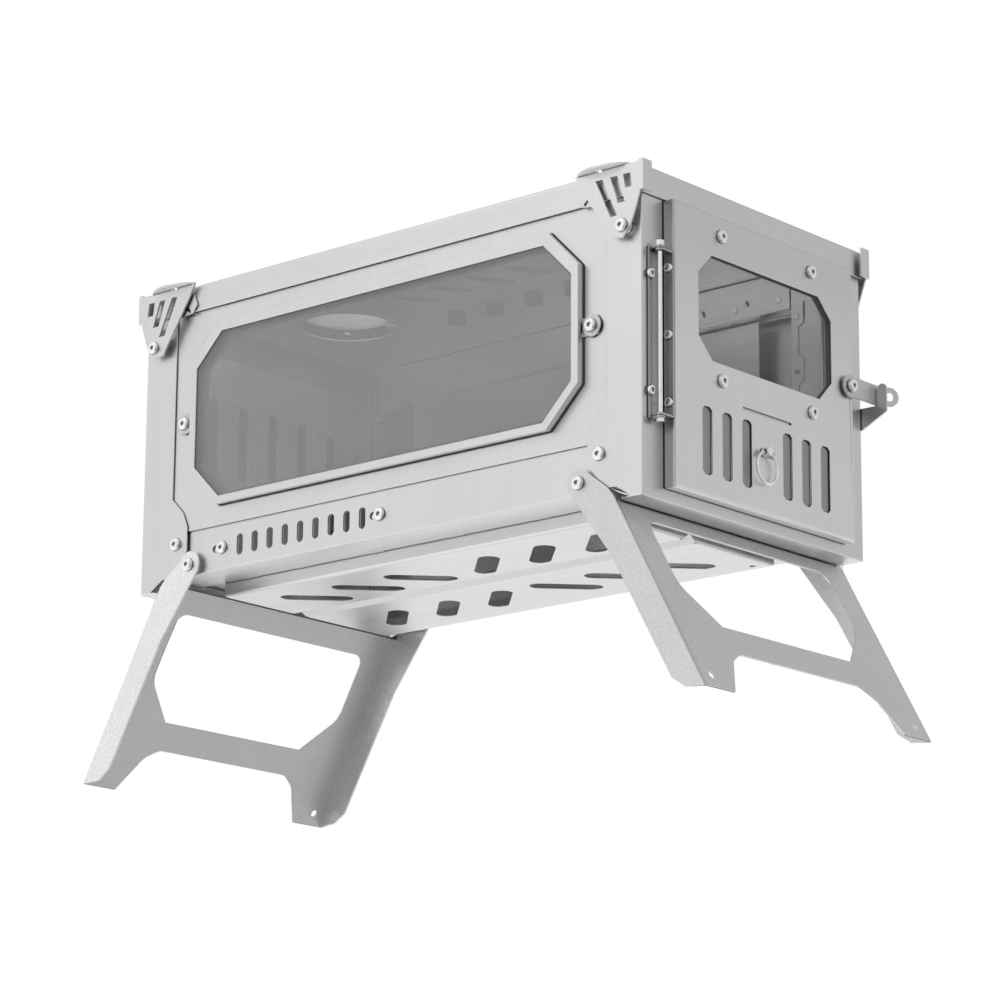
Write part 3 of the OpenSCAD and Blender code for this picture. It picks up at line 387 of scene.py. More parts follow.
KINDS = ("points", "edges", "faces")
MERGE_REACH = 2e-6
FLAT_ANGLE = math.radians(0.6)
SMOOTH_ANGLE = math.radians(32)
ALIGNED = 0.9
FOLD_STEPS = 4
LEAST_FOLD_LENGTH = 5 * MM
LEAST_FOLD_WIDTH = 3.4 * MM
THICKEST_CUT = 1.5 * MM
SHEET = 1 * MM


def only(piece):
    """Selects one object alone and makes it active."""
    bpy.ops.object.select_all(action="DESELECT")
    piece.hide_set(False)
    piece.select_set(True)
    bpy.context.view_layer.objects.active = piece
    return piece


def apply_modifier(piece, kind, **settings):
    only(piece)
    bpy.ops.object.modifier_add(type=kind)
    change = piece.modifiers[-1]
    for key, value in settings.items():
        setattr(change, key, value)
    bpy.ops.object.modifier_apply(modifier=change.name)


def pick(piece, wanted, kind="edges"):
    """Selects the points, edges or faces that the test wants, and leaves the piece in edit mode."""
    only(piece)
    bpy.context.tool_settings.mesh_select_mode = tuple(kind == one for one in KINDS)
    bpy.ops.object.mode_set(mode="EDIT")
    bpy.ops.mesh.select_all(action="DESELECT")
    bpy.ops.object.mode_set(mode="OBJECT")
    mesh = piece.data
    if kind == "points":
        for point in mesh.vertices:
            point.select = wanted(point.co)
    elif kind == "faces":
        for face in mesh.polygons:
            face.select = wanted(face)
    else:
        beside = {}
        for face in mesh.polygons:
            for key in face.edge_keys:
                beside.setdefault(key, []).append(face)
        for edge in mesh.edges:
            a, b = (mesh.vertices[i].co for i in edge.vertices)
            faces = beside.get(edge.key, ())
            edge.select = len(faces) == 2 and wanted(a, b, *faces)
    bpy.ops.object.mode_set(mode="EDIT")


def bevel_where(piece, wanted, size, segments, measured="OFFSET"):
    pick(piece, wanted)
    bpy.ops.mesh.bevel(offset=size, offset_type=measured, segments=segments, affect="EDGES")
    bpy.ops.object.mode_set(mode="OBJECT")


def is_fold(a, b, first, second):
    """A long convex edge between two wide faces, which is a fold and not the cut edge of a sheet."""
    length = (a - b).length
    wide = min(first.area, second.area) > LEAST_FOLD_WIDTH * length
    turned = abs(first.normal.dot(second.normal)) < 0.5
    convex = (second.center - first.center).dot(first.normal) < 0
    return length > LEAST_FOLD_LENGTH and wide and turned and convex


def is_sharp_cut(a, b, first, second):
    """A short edge across a sheet, where its outline turns a corner."""
    return (a - b).length < THICKEST_CUT and 0.1 < first.normal.dot(second.normal) < 0.92


def runs_across(a, b, first, second):
    return abs((a - b).normalized().y) > ALIGNED


def shift_where(piece, wanted, step):
    """Moves the points that the test wants."""
    pick(piece, wanted, "points")
    bpy.ops.transform.translate(value=step)
    bpy.ops.object.mode_set(mode="OBJECT")


def drop_faces(piece, wanted):
    pick(piece, wanted, "faces")
    bpy.ops.mesh.delete(type="FACE")
    bpy.ops.object.mode_set(mode="OBJECT")


def whole_copy(node):
    """A copy of a CAD node with its seams merged and its flats made whole."""
    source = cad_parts[node]
    piece = bpy.data.objects.new(node + "_finished", source.data.copy())
    bpy.context.scene.collection.objects.link(piece)
    only(piece)
    bpy.ops.object.mode_set(mode="EDIT")
    bpy.ops.mesh.select_all(action="SELECT")
    bpy.ops.mesh.remove_doubles(threshold=MERGE_REACH)
    bpy.ops.mesh.customdata_custom_splitnormals_clear()
    bpy.ops.mesh.dissolve_limited(angle_limit=FLAT_ANGLE)
    bpy.ops.object.mode_set(mode="OBJECT")
    return piece


def finish_edges(piece, edge, fold=0.0):
    """Rounds the folds, then every other edge, and lets the flats keep their own normals."""
    if fold > 0:
        bevel_where(piece, is_fold, fold, FOLD_STEPS)
    only(piece)
    bpy.ops.object.shade_smooth_by_angle(angle=SMOOTH_ANGLE)
    if edge > 0:
        apply_modifier(piece, "BEVEL", width=edge, segments=2, limit_method="ANGLE",
                       angle_limit=SMOOTH_ANGLE, use_clamp_overlap=False, miter_outer="MITER_SHARP")
    apply_modifier(piece, "WEIGHTED_NORMAL", keep_sharp=True, weight=80)
    return piece


def new_box(name, low, high):
    """A box at its size and place, to be shaped."""
    bpy.ops.object.select_all(action="DESELECT")
    middle = [(start + end) / 2 for start, end in zip(low, high)]
    size = [end - start for start, end in zip(low, high)]
    bpy.ops.mesh.primitive_cube_add(size=1.0, location=middle, scale=size)
    box = bpy.context.active_object
    box.name = name
    bpy.ops.object.transform_apply(location=True, rotation=True, scale=True)
    return box


def folded_sheet(name, low, high, sides, fold):
    """A sheet folded along the edges of a box, on those sides alone that it has."""
    piece = new_box(name, low, high)
    drop_faces(piece, lambda face: not any(face.normal.dot(side) > ALIGNED for side in sides))
    bevel_where(piece, lambda a, b, first, second: True, fold, FOLD_STEPS)
    apply_modifier(piece, "SOLIDIFY", thickness=SHEET, offset=-1)
    return piece


def eight_sided_band(name, low, high, corner, soft, wall):
    """A closed band round the y axis: a box with cut and softened corners and a thin wall."""
    piece = new_box(name, low, high)
    bevel_where(piece, runs_across, corner, 1)
    bevel_where(piece, runs_across, soft, FOLD_STEPS, "ABSOLUTE")
    drop_faces(piece, lambda face: abs(face.normal.y) > ALIGNED)
    apply_modifier(piece, "SOLIDIFY", thickness=wall, offset=-1)
    return piece


def slot_cutter(length, width, depth, turn=0.0):
    """An upright bar with round ends that cuts a slot; made at the origin."""
    points = 24
    bpy.ops.object.select_all(action="DESELECT")
    bpy.ops.mesh.primitive_cylinder_add(vertices=points, radius=width / 2, depth=depth,
                                        rotation=(0, 0, math.pi / points))
    cutter = bpy.context.active_object
    bpy.ops.object.transform_apply(location=True, rotation=True, scale=True)
    spare = (length - width) / 2
    shift_where(cutter, lambda point: point.x > 0, (spare, 0, 0))
    shift_where(cutter, lambda point: point.x < 0, (-spare, 0, 0))
    cutter.rotation_euler = (0, 0, turn)
    only(cutter)
    bpy.ops.object.transform_apply(location=True, rotation=True, scale=True)
    return cutter


def row(first, pitch, count):
    return [first + pitch * i for i in range(count)]


def copies(pattern, places, upright=True):
    """Copies of a piece, each with its own mesh, at these places; the pattern itself goes."""
    made = []
    for place in places:
        one = bpy.data.objects.new(pattern.name + "_copy", pattern.data.copy())
        bpy.context.scene.collection.objects.link(one)
        if not upright:
            one.rotation_euler = (math.pi / 2, 0, 0)
        one.location = place
        made.append(one)
    bpy.data.objects.remove(pattern)
    return made


def joined(pieces, name):
    bpy.ops.object.select_all(action="DESELECT")
    for piece in pieces:
        piece.select_set(True)
    bpy.context.view_layer.objects.active = pieces[0]
    bpy.ops.object.join()
    bpy.ops.object.transform_apply(location=True, rotation=True, scale=True)
    pieces[0].name = name
    return pieces[0]


def cut_away(piece, cutters):
    cutter = joined(cutters, "cutter")
    apply_modifier(piece, "BOOLEAN", operation="DIFFERENCE", solver="EXACT", object=cutter)
    bpy.data.objects.remove(cutter)


def settle(piece, body, slot, finish, *nodes):
    """Gives a piece its finish and its body, and lets it stand for CAD nodes; the slot is not used."""
    piece.data.materials.clear()
    piece.data.materials.append(material(finish))
    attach(piece, body)
    if nodes:
        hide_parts(*nodes)
    return piece


def dress(nodes, body, slot, finish, edge, fold=0.0):
    """Rounded copies that stand for the CAD nodes, in their finish, riding on their body."""
    for node in nodes:
        settle(finish_edges(whole_copy(node), edge, fold), body, slot, finish, node)


def paint(node, finish):
    """A CAD node whose shape is right keeps its mesh and gets a finish."""
    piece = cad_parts[node]
    if not piece.material_slots:
        raise RuntimeError("no material slot on " + node)
    for place in piece.material_slots:
        place.material = material(finish)


# Operators: one for each group of like pieces

class StovePiece:
    bl_options = {"REGISTER", "UNDO"}


class STOVE_OT_end_frames(StovePiece, bpy.types.Operator):
    """Front and rear frames of the body, with rounded sheet edges"""
    bl_idname = "stove.end_frames"
    bl_label = "End frames"

    def execute(self, context):
        sheets = ["front_frame", "rear_frame"]
        dress(sheets, "stove", "body_steel", "body_upright", edges().sheet, edges().bend)
        return {"FINISHED"}


class STOVE_OT_walls(StovePiece, bpy.types.Operator):
    """Side panels and the lower rails with their air slots"""
    bl_idname = "stove.walls"
    bl_label = "Side walls"

    def execute(self, context):
        sheets = ["left_panel", "right_panel", "left_rail", "right_rail"]
        dress(sheets, "stove", "body_steel", "body_upright", edges().sheet, edges().bend)
        return {"FINISHED"}


class STOVE_OT_lid_and_collar(StovePiece, bpy.types.Operator):
    """Lid with its folded rim, and the flue collar"""
    bl_idname = "stove.lid_and_collar"
    bl_label = "Lid and flue collar"

    def execute(self, context):
        dress(["lid", "flue_collar"], "stove", "body_steel", "body_lengthwise", edges().fold)
        return {"FINISHED"}


class STOVE_OT_floor_pan(StovePiece, bpy.types.Operator):
    """Floor pan with its slots and beads"""
    bl_idname = "stove.floor_pan"
    bl_label = "Floor pan"

    def execute(self, context):
        dress(["floor_pan"], "stove", "body_steel", "body_lengthwise", edges().sheet)
        return {"FINISHED"}


class STOVE_OT_inner_plates(StovePiece, bpy.types.Operator):
    """Baffle, air channel, corner post with its rivets, liner and rear shield inside the firebox"""
    bl_idname = "stove.inner_plates"
    bl_label = "Inner plates"

    def execute(self, context):
        dress(["baffle_spacers"], "stove", "inner_steel", "inner_dull", edges().sheet)
        settle(make_baffle(), "stove", "inner_steel", "inner_dull", "ceiling_baffle")
        settle(make_channel(), "stove", "inner_steel", "inner_dull", "air_channel")
        settle(make_post(), "stove", "inner_steel", "inner_dull")
        settle(make_liner(), "stove", "inner_steel", "inner_dull", "right_liner")
        settle(make_shield(), "stove", "inner_steel", "inner_dull", "rear_shield")
        settle(make_rivets(), "stove", "inner_steel", "screw_bright")
        return {"FINISHED"}


LINER_SETBACK = 18 * MM
SHIELD_RIM = 9 * MM
SHIELD_SLOT_LIFT = 12 * MM


def make_liner():
    """The liner, with its front end set back."""
    liner = whole_copy("right_liner")
    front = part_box("right_liner")[1][0]
    shift_where(liner, lambda point: point.x > front - SHEET, (-LINER_SETBACK, 0, 0))
    return finish_edges(liner, edges().sheet)


def make_shield():
    """The rear shield, with its slots raised."""
    shield = whole_copy("rear_shield")
    low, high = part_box("rear_shield")
    shift_where(shield, lambda point: low[2] + SHIELD_RIM < point.z < high[2] - SHIELD_RIM,
                (0, 0, SHIELD_SLOT_LIFT))
    return finish_edges(shield, edges().sheet)


CUT_DEPTH = 8 * MM
BAFFLE_FOLD = 1.2 * MM
BAFFLE_SLOTS = 4
# Length, width, turn in degrees, first slot, pitch, and distance from the middle line
BAFFLE_ROWS = ((36 * MM, 11.5 * MM, -49, -58.6 * MM, 32 * MM, 29.3 * MM),
               (31 * MM, 10.5 * MM, 57, -52 * MM, 31 * MM, -17.5 * MM))
LIP_HOLE = 6 * MM
LIP_HOLE_PLAY = 0.02 * MM
LIP_HOLE_DROP = 22 * MM
LIP_HOLE_FIRST = 48 * MM
LIP_HOLE_PITCH = 21.7 * MM
FLUE_RADIUS = 30 * MM


def make_baffle():
    """Ceiling baffle with folded lips, the flue's hole, herringbone slots and holes in its lips."""
    low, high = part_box("ceiling_baffle")
    flue_low, flue_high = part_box("flue_collar")
    sides = ((0, 0, 1), (0, 1, 0), (0, -1, 0))
    baffle = folded_sheet("baffle_finished", low, high, sides, BAFFLE_FOLD)
    top = high[2]
    middle = (low[1] + high[1]) / 2
    cutters = []
    for length, width, turn, first, pitch, aside in BAFFLE_ROWS:
        cutters += copies(slot_cutter(length, width, CUT_DEPTH, math.radians(turn)),
                          [(x, middle + aside, top) for x in row(first, pitch, BAFFLE_SLOTS)])
    through = high[1] - low[1] + CUT_DEPTH
    cutters += copies(slot_cutter(LIP_HOLE + LIP_HOLE_PLAY, LIP_HOLE, through),
                      [(x, middle, top - LIP_HOLE_DROP) for x in row(LIP_HOLE_FIRST, LIP_HOLE_PITCH, 4)],
                      upright=False)
    cut_away(baffle, cutters)
    bpy.ops.object.select_all(action="DESELECT")
    bpy.ops.mesh.primitive_cylinder_add(vertices=64, radius=FLUE_RADIUS, depth=CUT_DEPTH,
                                        location=((flue_low[0] + flue_high[0]) / 2, middle, top))
    cut_away(baffle, [bpy.context.active_object])
    return finish_edges(baffle, edges().sheet)


CHANNEL_REACH = 5 * MM
CHANNEL_FOLD = 0.9 * MM
CHANNEL_CUT = 6 * MM
UNDER_SLOT = (5.5 * MM, 2 * MM)
UNDER_SLOT_INSET = (28 * MM, 4 * MM)
UNDER_SLOT_PITCH = 17.5 * MM
FACE_SLOT = (4.4 * MM, 1.8 * MM)
FACE_SLOT_TURN = math.radians(-65)
FACE_SLOT_INSET = (32 * MM, 14.6 * MM)
FACE_SLOT_PITCH = 33.6 * MM


def make_channel():
    """Air channel along the far edge of the baffle, with small slots in its face and underside."""
    low, high = (list(corner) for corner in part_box("air_channel"))
    low[0] -= CHANNEL_REACH
    high[0] += CHANNEL_REACH
    sides = ((0, -1, 0), (0, 0, 1), (0, 0, -1))
    channel = folded_sheet("channel_finished", low, high, sides, CHANNEL_FOLD)
    inset, aside = UNDER_SLOT_INSET
    under = copies(slot_cutter(*UNDER_SLOT, CHANNEL_CUT),
                   [(x, low[1] + aside, low[2]) for x in row(high[0] - inset, -UNDER_SLOT_PITCH, 16)])
    inset, drop = FACE_SLOT_INSET
    face = copies(slot_cutter(*FACE_SLOT, CHANNEL_CUT, FACE_SLOT_TURN),
                  [(x, low[1], high[2] - drop) for x in row(high[0] - inset, -FACE_SLOT_PITCH, 8)],
                  upright=False)
    cut_away(channel, under + face)
    return finish_edges(channel, edges().sheet)


POST_SPAN = (35.9 * MM, 12.9 * MM)
POST_FOOT_GAP = 0.3 * MM
POST_HEAD_GAP = 1.3 * MM
POST_FOLD = 1.6 * MM
SLIT_INSET = 9.5 * MM
SLIT_DROP = 21 * MM
SLIT_START = 6 * MM
SLIT_WIDTH = 1.3 * MM
SLIT_FOOT = 3 * MM
# Across and down from corner to corner of the slit, in millimetres
SLIT_STEPS = [(0, -7.6)] + [(-3.9, -2.5), (0, -16.2), (3.9, -2.5), (0, -14.4)] * 4


def post_place():
    """Low and high corner of the post beside the door."""
    channel_low, channel_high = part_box("air_channel")
    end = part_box("front_frame")[1][0]
    back, front = POST_SPAN
    return ((end - back, channel_low[1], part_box("floor_pan")[1][2] + POST_FOOT_GAP),
            (end - front, channel_high[1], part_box("ceiling_baffle")[1][2] - POST_HEAD_GAP))


def make_post():
    """Corner post beside the door, folded towards the wall, with a stepped slit down its face."""
    low, high = post_place()
    post = folded_sheet("corner_post", low, high, ((0, -1, 0), (1, 0, 0)), POST_FOLD)
    cut_away(post, [make_slit(low, high)])
    return finish_edges(post, edges().sheet)


def make_slit(low, high):
    """The stepped slit as a thin ribbon, extruded downwards corner by corner."""
    bpy.ops.object.select_all(action="DESELECT")
    bpy.ops.mesh.primitive_plane_add(size=SLIT_START, location=(0, 0, 0))
    ribbon = bpy.context.active_object
    ribbon.location = (low[0] + SLIT_INSET, low[1], high[2] - SLIT_DROP - SLIT_START / 2)
    ribbon.rotation_euler = (0, math.pi / 2, 0)
    bpy.ops.object.transform_apply(location=True, rotation=True, scale=True)
    lowest = min(point.co.z for point in ribbon.data.vertices)
    pick(ribbon, lambda point: point.z < lowest + MERGE_REACH, "points")
    for across, down in SLIT_STEPS:
        if lowest + down * MM > low[2] + SLIT_FOOT:
            bpy.ops.mesh.extrude_edges_move(TRANSFORM_OT_translate={"value": (across * MM, 0, down * MM)})
            lowest += down * MM
    bpy.ops.object.mode_set(mode="OBJECT")
    apply_modifier(ribbon, "SOLIDIFY", thickness=SLIT_WIDTH, offset=0)
    only(ribbon)
    bpy.ops.object.mode_set(mode="EDIT")
    bpy.ops.mesh.select_all(action="SELECT")
    bpy.ops.mesh.normals_make_consistent(inside=False)
    bpy.ops.object.mode_set(mode="OBJECT")
    return ribbon


RIVET_RADIUS = 1.7 * MM
RIVET_HEIGHT = 1.2 * MM
RIVET_ROUND = 0.35 * MM
# Inset, drop and pitch of the rivets on the post and on the channel
POST_RIVETS = (4 * MM, 30 * MM, 34.8 * MM)
CHANNEL_RIVETS = (3 * MM, 17.2 * MM, 33.2 * MM)


def make_rivets():
    """Flat rivet heads on the post and on the channel."""
    low, high = post_place()
    channel_low, channel_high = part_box("air_channel")
    bpy.ops.object.select_all(action="DESELECT")
    bpy.ops.mesh.primitive_cylinder_add(vertices=20, radius=RIVET_RADIUS, depth=RIVET_HEIGHT)
    rivet = bpy.context.active_object
    bevel_where(rivet, lambda a, b, first, second: a.z > 0 and b.z > 0, RIVET_ROUND, 2)
    inset, drop, pitch = POST_RIVETS
    places = [(low[0] + inset, low[1], z) for z in row(high[2] - drop, -pitch, 4)]
    inset, drop, pitch = CHANNEL_RIVETS
    places += [(x, channel_low[1], channel_high[2] - drop) for x in row(channel_high[0] - inset, -pitch, 9)]
    return finish_edges(joined(copies(rivet, places, upright=False), "rivets"), 0)


class STOVE_OT_brackets(StovePiece, bpy.types.Operator):
    """Corner brackets with their slanted slots"""
    bl_idname = "stove.brackets"
    bl_label = "Corner brackets"

    def execute(self, context):
        dress(["corner_brackets"], "stove", "fitting_steel", "body_upright", 0)
        return {"FINISHED"}


class STOVE_OT_window(StovePiece, bpy.types.Operator):
    """Side window: bezel, glass, the seal behind the glass, a dark strip that paints the shadow at the
    bezel's foot, and the washers of its screws
    """
    bl_idname = "stove.window"
    bl_label = "Side window"

    def execute(self, context):
        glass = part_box("window_glass")
        dress(["window_bezel"], "stove", "body_steel", "body_upright", edges().fold)
        # A dark strip under the bezel's foot paints the shadow line there
        settle(make_foot_shadow_strip(glass), "stove", "glass", "seal_and_shadow_dark")
        settle(make_opening_seal(glass), "stove", "glass", "seal_and_shadow_dark")
        dress(["bezel_washers"], "stove", "fitting_steel", "fitting_dull", edges().small)
        paint("window_glass", "side_glass")
        return {"FINISHED"}


# Size of the dark strip that paints the shadow at the bezel's foot
FOOT_SHADOW_CUT = 23.8 * MM
FOOT_SHADOW_REACH = 1.6 * MM
FOOT_SHADOW_DEPTH = 0.8 * MM
# How far inside the pane's edge the seal behind the glass runs, at the ends, below and above
OPENING_INSETS = (5.8 * MM, 5 * MM, 6.5 * MM)
OPENING_SEAL = (0.1 * MM, 3.6 * MM)
OPENING_SEAL_CUT = 21 * MM


def make_foot_shadow_strip(glass):
    """A dark strip that paints the shadow line where the bezel meets the side panel."""
    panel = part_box("left_panel")[0][1]
    out = FOOT_SHADOW_REACH
    low = (glass[0][0] - out, panel - FOOT_SHADOW_DEPTH, glass[0][2] - out)
    high = (glass[1][0] + out, panel, glass[1][2] + out)
    return eight_sided_band("foot_shadow_strip", low, high, FOOT_SHADOW_CUT, soft=0.3 * MM, wall=1.2 * MM)


def make_opening_seal(glass):
    """Dark seal behind the glass, along the panel's opening."""
    ends, under, over = OPENING_INSETS
    front, back = (glass[1][1] + depth for depth in OPENING_SEAL)
    low = (glass[0][0] + ends, front, glass[0][2] + under)
    high = (glass[1][0] - ends, back, glass[1][2] - over)
    return eight_sided_band("opening_seal", low, high, OPENING_SEAL_CUT, soft=5 * MM, wall=1.3 * MM)


class STOVE_OT_door(StovePiece, bpy.types.Operator):
    """Door sheet, retainer, guides, glass and air slider"""
    bl_idname = "stove.door"
    bl_label = "Door"

    def execute(self, context):
        dress(["door_panel"], "door", "door_steel", "door_upright", edges().fold)
        dress(["door_retainer", "slider_guides"], "door", "door_steel", "door_upright", edges().sheet)
        dress(["door_slider"], "air_slider", "inner_steel", "slide_dark", edges().sheet)
        paint("door_glass", "door_pane")
        return {"FINISHED"}


class STOVE_OT_hinge(StovePiece, bpy.types.Operator):
    """Both hinge leaves and their pin"""
    bl_idname = "stove.hinge"
    bl_label = "Hinge"

    def execute(self, context):
        # The hinge leaves share the door's finish and so its painted shade
        dress(["hinge_frame_leaf"], "stove", "fitting_steel", "door_upright", edges().small)
        dress(["hinge_door_leaf"], "door", "fitting_steel", "door_upright", edges().small)
        dress(["hinge_pin"], "stove", "fitting_steel", "screw_bright", edges().small)
        return {"FINISHED"}


class STOVE_OT_latch(StovePiece, bpy.types.Operator):
    """Latch lever and its keeper"""
    bl_idname = "stove.latch"
    bl_label = "Latch"

    def execute(self, context):
        dress(["latch_lever"], "latch", "fitting_steel", "fitting_dull", edges().small)
        dress(["latch_keeper"], "stove", "fitting_steel", "fitting_dull", edges().small)
        return {"FINISHED"}


class STOVE_OT_pull(StovePiece, bpy.types.Operator):
    """Knob and pull ring of the air slider, and the side vent slider"""
    bl_idname = "stove.pull"
    bl_label = "Sliders' pulls"

    def execute(self, context):
        dress(["slider_knob"], "air_slider", "fitting_steel", "screw_bright", edges().small)
        dress(["pull_ring"], "ring", "fitting_steel", "screw_bright", 0)
        dress(["vent_slider"], "vent", "inner_steel", "inner_dull", edges().sheet)
        return {"FINISHED"}


class STOVE_OT_legs(StovePiece, bpy.types.Operator):
    """Folding front and rear legs"""
    bl_idname = "stove.legs"
    bl_label = "Legs"

    def execute(self, context):
        # Each leg's finish carries its own painted shade and light
        for node, body, finish in (("front_leg", "leg_front", "grainy_leg_with_painted_shade"),
                                   ("rear_leg", "leg_rear", "grainy_rear_leg_with_painted_shade")):
            settle(make_leg(node), body, "leg_steel", finish, node)
        return {"FINISHED"}


# Heights above the foot: the window starts above the bar, and the notch lies below it
LEG_BAR = 45 * MM
LEG_NOTCH = (12 * MM, 39 * MM)
LEG_WINDOW_ROUND = 6 * MM
LEG_NOTCH_ROUND = 2.5 * MM
LEG_FOLD = 1.5 * MM


def make_leg(node):
    """A leg with the corners of its window and of its foot notch rounded."""
    leg = whole_copy(node)
    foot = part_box(node)[0][2]
    notch_low, notch_high = (foot + height for height in LEG_NOTCH)

    def at_window(a, b, first, second):
        return is_sharp_cut(a, b, first, second) and a.z > foot + LEG_BAR

    def at_notch(a, b, first, second):
        return is_sharp_cut(a, b, first, second) and notch_low < a.z < notch_high

    bevel_where(leg, at_window, LEG_WINDOW_ROUND, 5, "ABSOLUTE")
    bevel_where(leg, at_notch, LEG_NOTCH_ROUND, FOLD_STEPS, "ABSOLUTE")
    return finish_edges(leg, edges().fold, LEG_FOLD)


class STOVE_OT_fasteners(StovePiece, bpy.types.Operator):
    """Cap screws, nuts and spacers"""
    bl_idname = "stove.fasteners"
    bl_label = "Fasteners"

    def execute(self, context):
        by_body = {
            "stove": ["flue_screws", "bracket_screws", "bracket_spacers", "rail_screws", "bezel_screws",
                      "baffle_screws", "hinge_frame_screws", "keeper_screws", "leg_screws", "leg_spacers"],
            "vent": ["vent_slider_screws"],
            "door": ["door_screws", "hinge_door_screws", "latch_screw", "latch_spacer"],
        }
        for body, nodes in by_body.items():
            dress(nodes, body, "screw_steel", "screw_bright", edges().small)
        return {"FINISHED"}


class STOVE_OT_stage(StovePiece, bpy.types.Operator):
    """Pale floor, soft lamp, even surroundings and the camera"""
    bl_idname = "stove.stage"
    bl_label = "Stage"

    def execute(self, context):
        scene = context.scene
        scene.view_settings.view_transform = "Standard"
        make_floor()
        make_surroundings(scene)
        make_lamps()
        make_camera(scene)
        return {"FINISHED"}


FLOOR_DROP = 0.6 * MM
# How pale the walls are that the steel mirrors, how they change with the direction, and their dark side
WALL = 0.875
WALL_FALL_ASIDE = 0.09
WALL_FALL_ABOVE = 0.35
WALL_RISE_BELOW = 1.4
WALL_FALL_FAR_BELOW = 1.7
WALL_FALL_BELOW_DOOR = 1.2
WALL_DARKEST = 0.2
DARK_SIDE = (0.62, -0.74, -0.26)
DARK_SIDE_RANGE = (0.8, 0.97)
DARK_SIDE_SHADE = 0.35
WHITE = (1.0, 1.0, 1.0, 1.0)
LAMP_PLACE = (-0.6, -1.5, 2.0)
LAMP_TURN = (math.radians(36), math.radians(-10), 0)
LAMP_SIZE = 2.0


def make_floor():
    """A pale floor that is seen from above only, so that a camera below it looks past it."""
    bpy.ops.object.select_all(action="DESELECT")
    bpy.ops.mesh.primitive_plane_add(size=studio().floor, location=(0, 0, -FLOOR_DROP))
    floor = bpy.context.active_object
    floor.name = "studio_floor"
    finish = new_finish("floor_pale")
    grain = finish.noise(3.0, 2.0)
    shade = finish.around(grain, 0.0075, 0.9925)
    plain = finish.add("ShaderNodeBsdfDiffuse", None, {"Color": finish.tinted((0.9, 0.9, 0.9), shade)})
    clear = finish.add("ShaderNodeBsdfTransparent")
    behind = finish.add("ShaderNodeNewGeometry", output="Backfacing")
    mirrored = finish.add("ShaderNodeLightPath", output="Is Glossy Ray")
    finish.surface(finish.add("ShaderNodeMixShader", None, {0: behind.most(mirrored), 1: plain, 2: clear}))
    floor.data.materials.append(finish.owner)


def make_surroundings(scene):
    """White where the camera looks past the stove, and soft pale walls where steel mirrors them."""
    world = bpy.data.worlds.new("studio_walls")
    scene.world = world
    finish = Finish(world)
    where = finish.add("ShaderNodeTexCoord", output="Generated")
    x, y, z = (finish.add("ShaderNodeSeparateXYZ", None, {"Vector": where}, axis) for axis in "XYZ")
    below = (0.0 - z).most(0.0)
    level = WALL - WALL_FALL_ASIDE * (x + y) - WALL_FALL_ABOVE * z.most(0.0)
    level = level + WALL_RISE_BELOW * below - WALL_FALL_FAR_BELOW * below * below
    level = (level - WALL_FALL_BELOW_DOOR * below * x.most(0.0)).most(WALL_DARKEST)
    towards = DARK_SIDE[0] * x + DARK_SIDE[1] * y + DARK_SIDE[2] * z
    level = level * finish.spread(towards, *DARK_SIDE_RANGE, 1.0, DARK_SIDE_SHADE)
    walls = finish.add("ShaderNodeBackground", None, {"Color": WHITE, "Strength": level})
    white = finish.add("ShaderNodeBackground", None, {"Color": WHITE, "Strength": 1.0})
    seen = finish.add("ShaderNodeLightPath", output="Is Camera Ray")
    through = finish.add("ShaderNodeLightPath", output="Is Transmission Ray")
    finish.surface(finish.add("ShaderNodeMixShader", None, {0: seen.most(through), 1: walls, 2: white}))


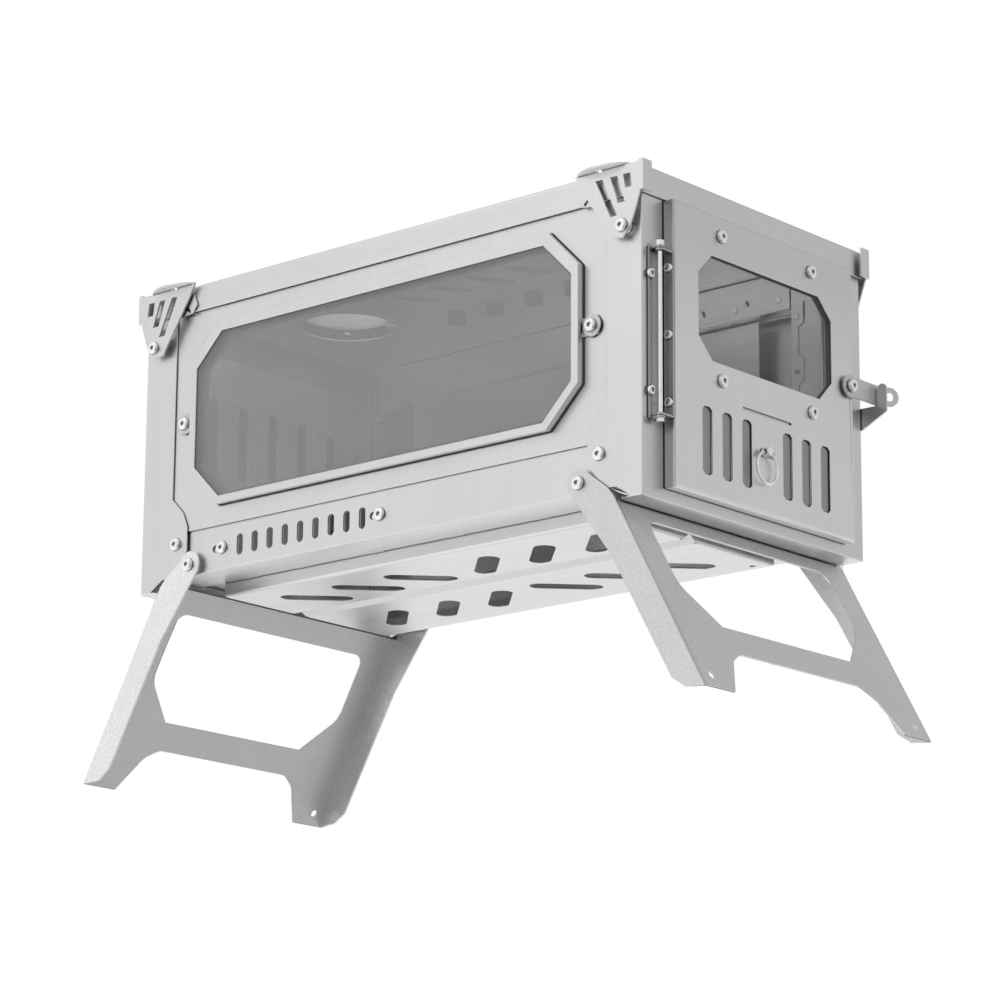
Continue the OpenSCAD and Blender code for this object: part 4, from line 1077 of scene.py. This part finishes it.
def make_lamps():
    bpy.ops.object.select_all(action="DESELECT")
    bpy.ops.object.light_add(type="AREA", location=LAMP_PLACE, rotation=LAMP_TURN)
    key = bpy.context.active_object
    key.name = "key_lamp"
    key.data.shape = "SQUARE"
    key.data.size = LAMP_SIZE
    key.data.energy = studio().key


def make_camera(scene):
    bpy.ops.object.select_all(action="DESELECT")
    bpy.ops.object.camera_add(location=tuple(studio().place), rotation=tuple(studio().turn))
    camera = bpy.context.active_object
    camera.name = "photo_camera"
    camera.data.sensor_width = 36
    camera.data.lens = studio().lens
    scene.camera = camera


class STOVE_PT_panel(bpy.types.Panel):
    """Lists the stove's pieces and sizes"""
    bl_idname = "STOVE_PT_panel"
    bl_label = "Tent wood stove"
    bl_space_type = "VIEW_3D"
    bl_region_type = "UI"
    bl_category = "Stove"

    def draw(self, context):
        for piece in PIECES:
            self.layout.operator(piece.bl_idname)
        for group in (edges(), colours(), studio()):
            box = self.layout.box()
            for name in group.__annotations__:
                box.prop(group, name)


PIECES = (
    STOVE_OT_end_frames, STOVE_OT_walls, STOVE_OT_lid_and_collar, STOVE_OT_floor_pan, STOVE_OT_inner_plates,
    STOVE_OT_brackets, STOVE_OT_window, STOVE_OT_door, STOVE_OT_hinge, STOVE_OT_latch, STOVE_OT_pull,
    STOVE_OT_legs, STOVE_OT_fasteners, STOVE_OT_stage,
)
GROUPS = (StoveEdges, StoveColours, StoveStudio)


def register():
    for group in GROUPS:
        bpy.utils.register_class(group)
    bpy.types.Scene.stove_edges = PointerProperty(type=StoveEdges)
    bpy.types.Scene.stove_colours = PointerProperty(type=StoveColours)
    bpy.types.Scene.stove_studio = PointerProperty(type=StoveStudio)
    for piece in PIECES + (STOVE_PT_panel,):
        bpy.utils.register_class(piece)


def unregister():
    for piece in reversed(PIECES + (STOVE_PT_panel,)):
        bpy.utils.unregister_class(piece)
    del bpy.types.Scene.stove_edges
    del bpy.types.Scene.stove_colours
    del bpy.types.Scene.stove_studio
    for group in reversed(GROUPS):
        bpy.utils.unregister_class(group)


def main():
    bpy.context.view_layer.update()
    register()
    for piece in PIECES:
        group, name = piece.bl_idname.split(".")
        getattr(getattr(bpy.ops, group), name)()
    bpy.context.view_layer.update()


if __name__ == "__main__":
    main()
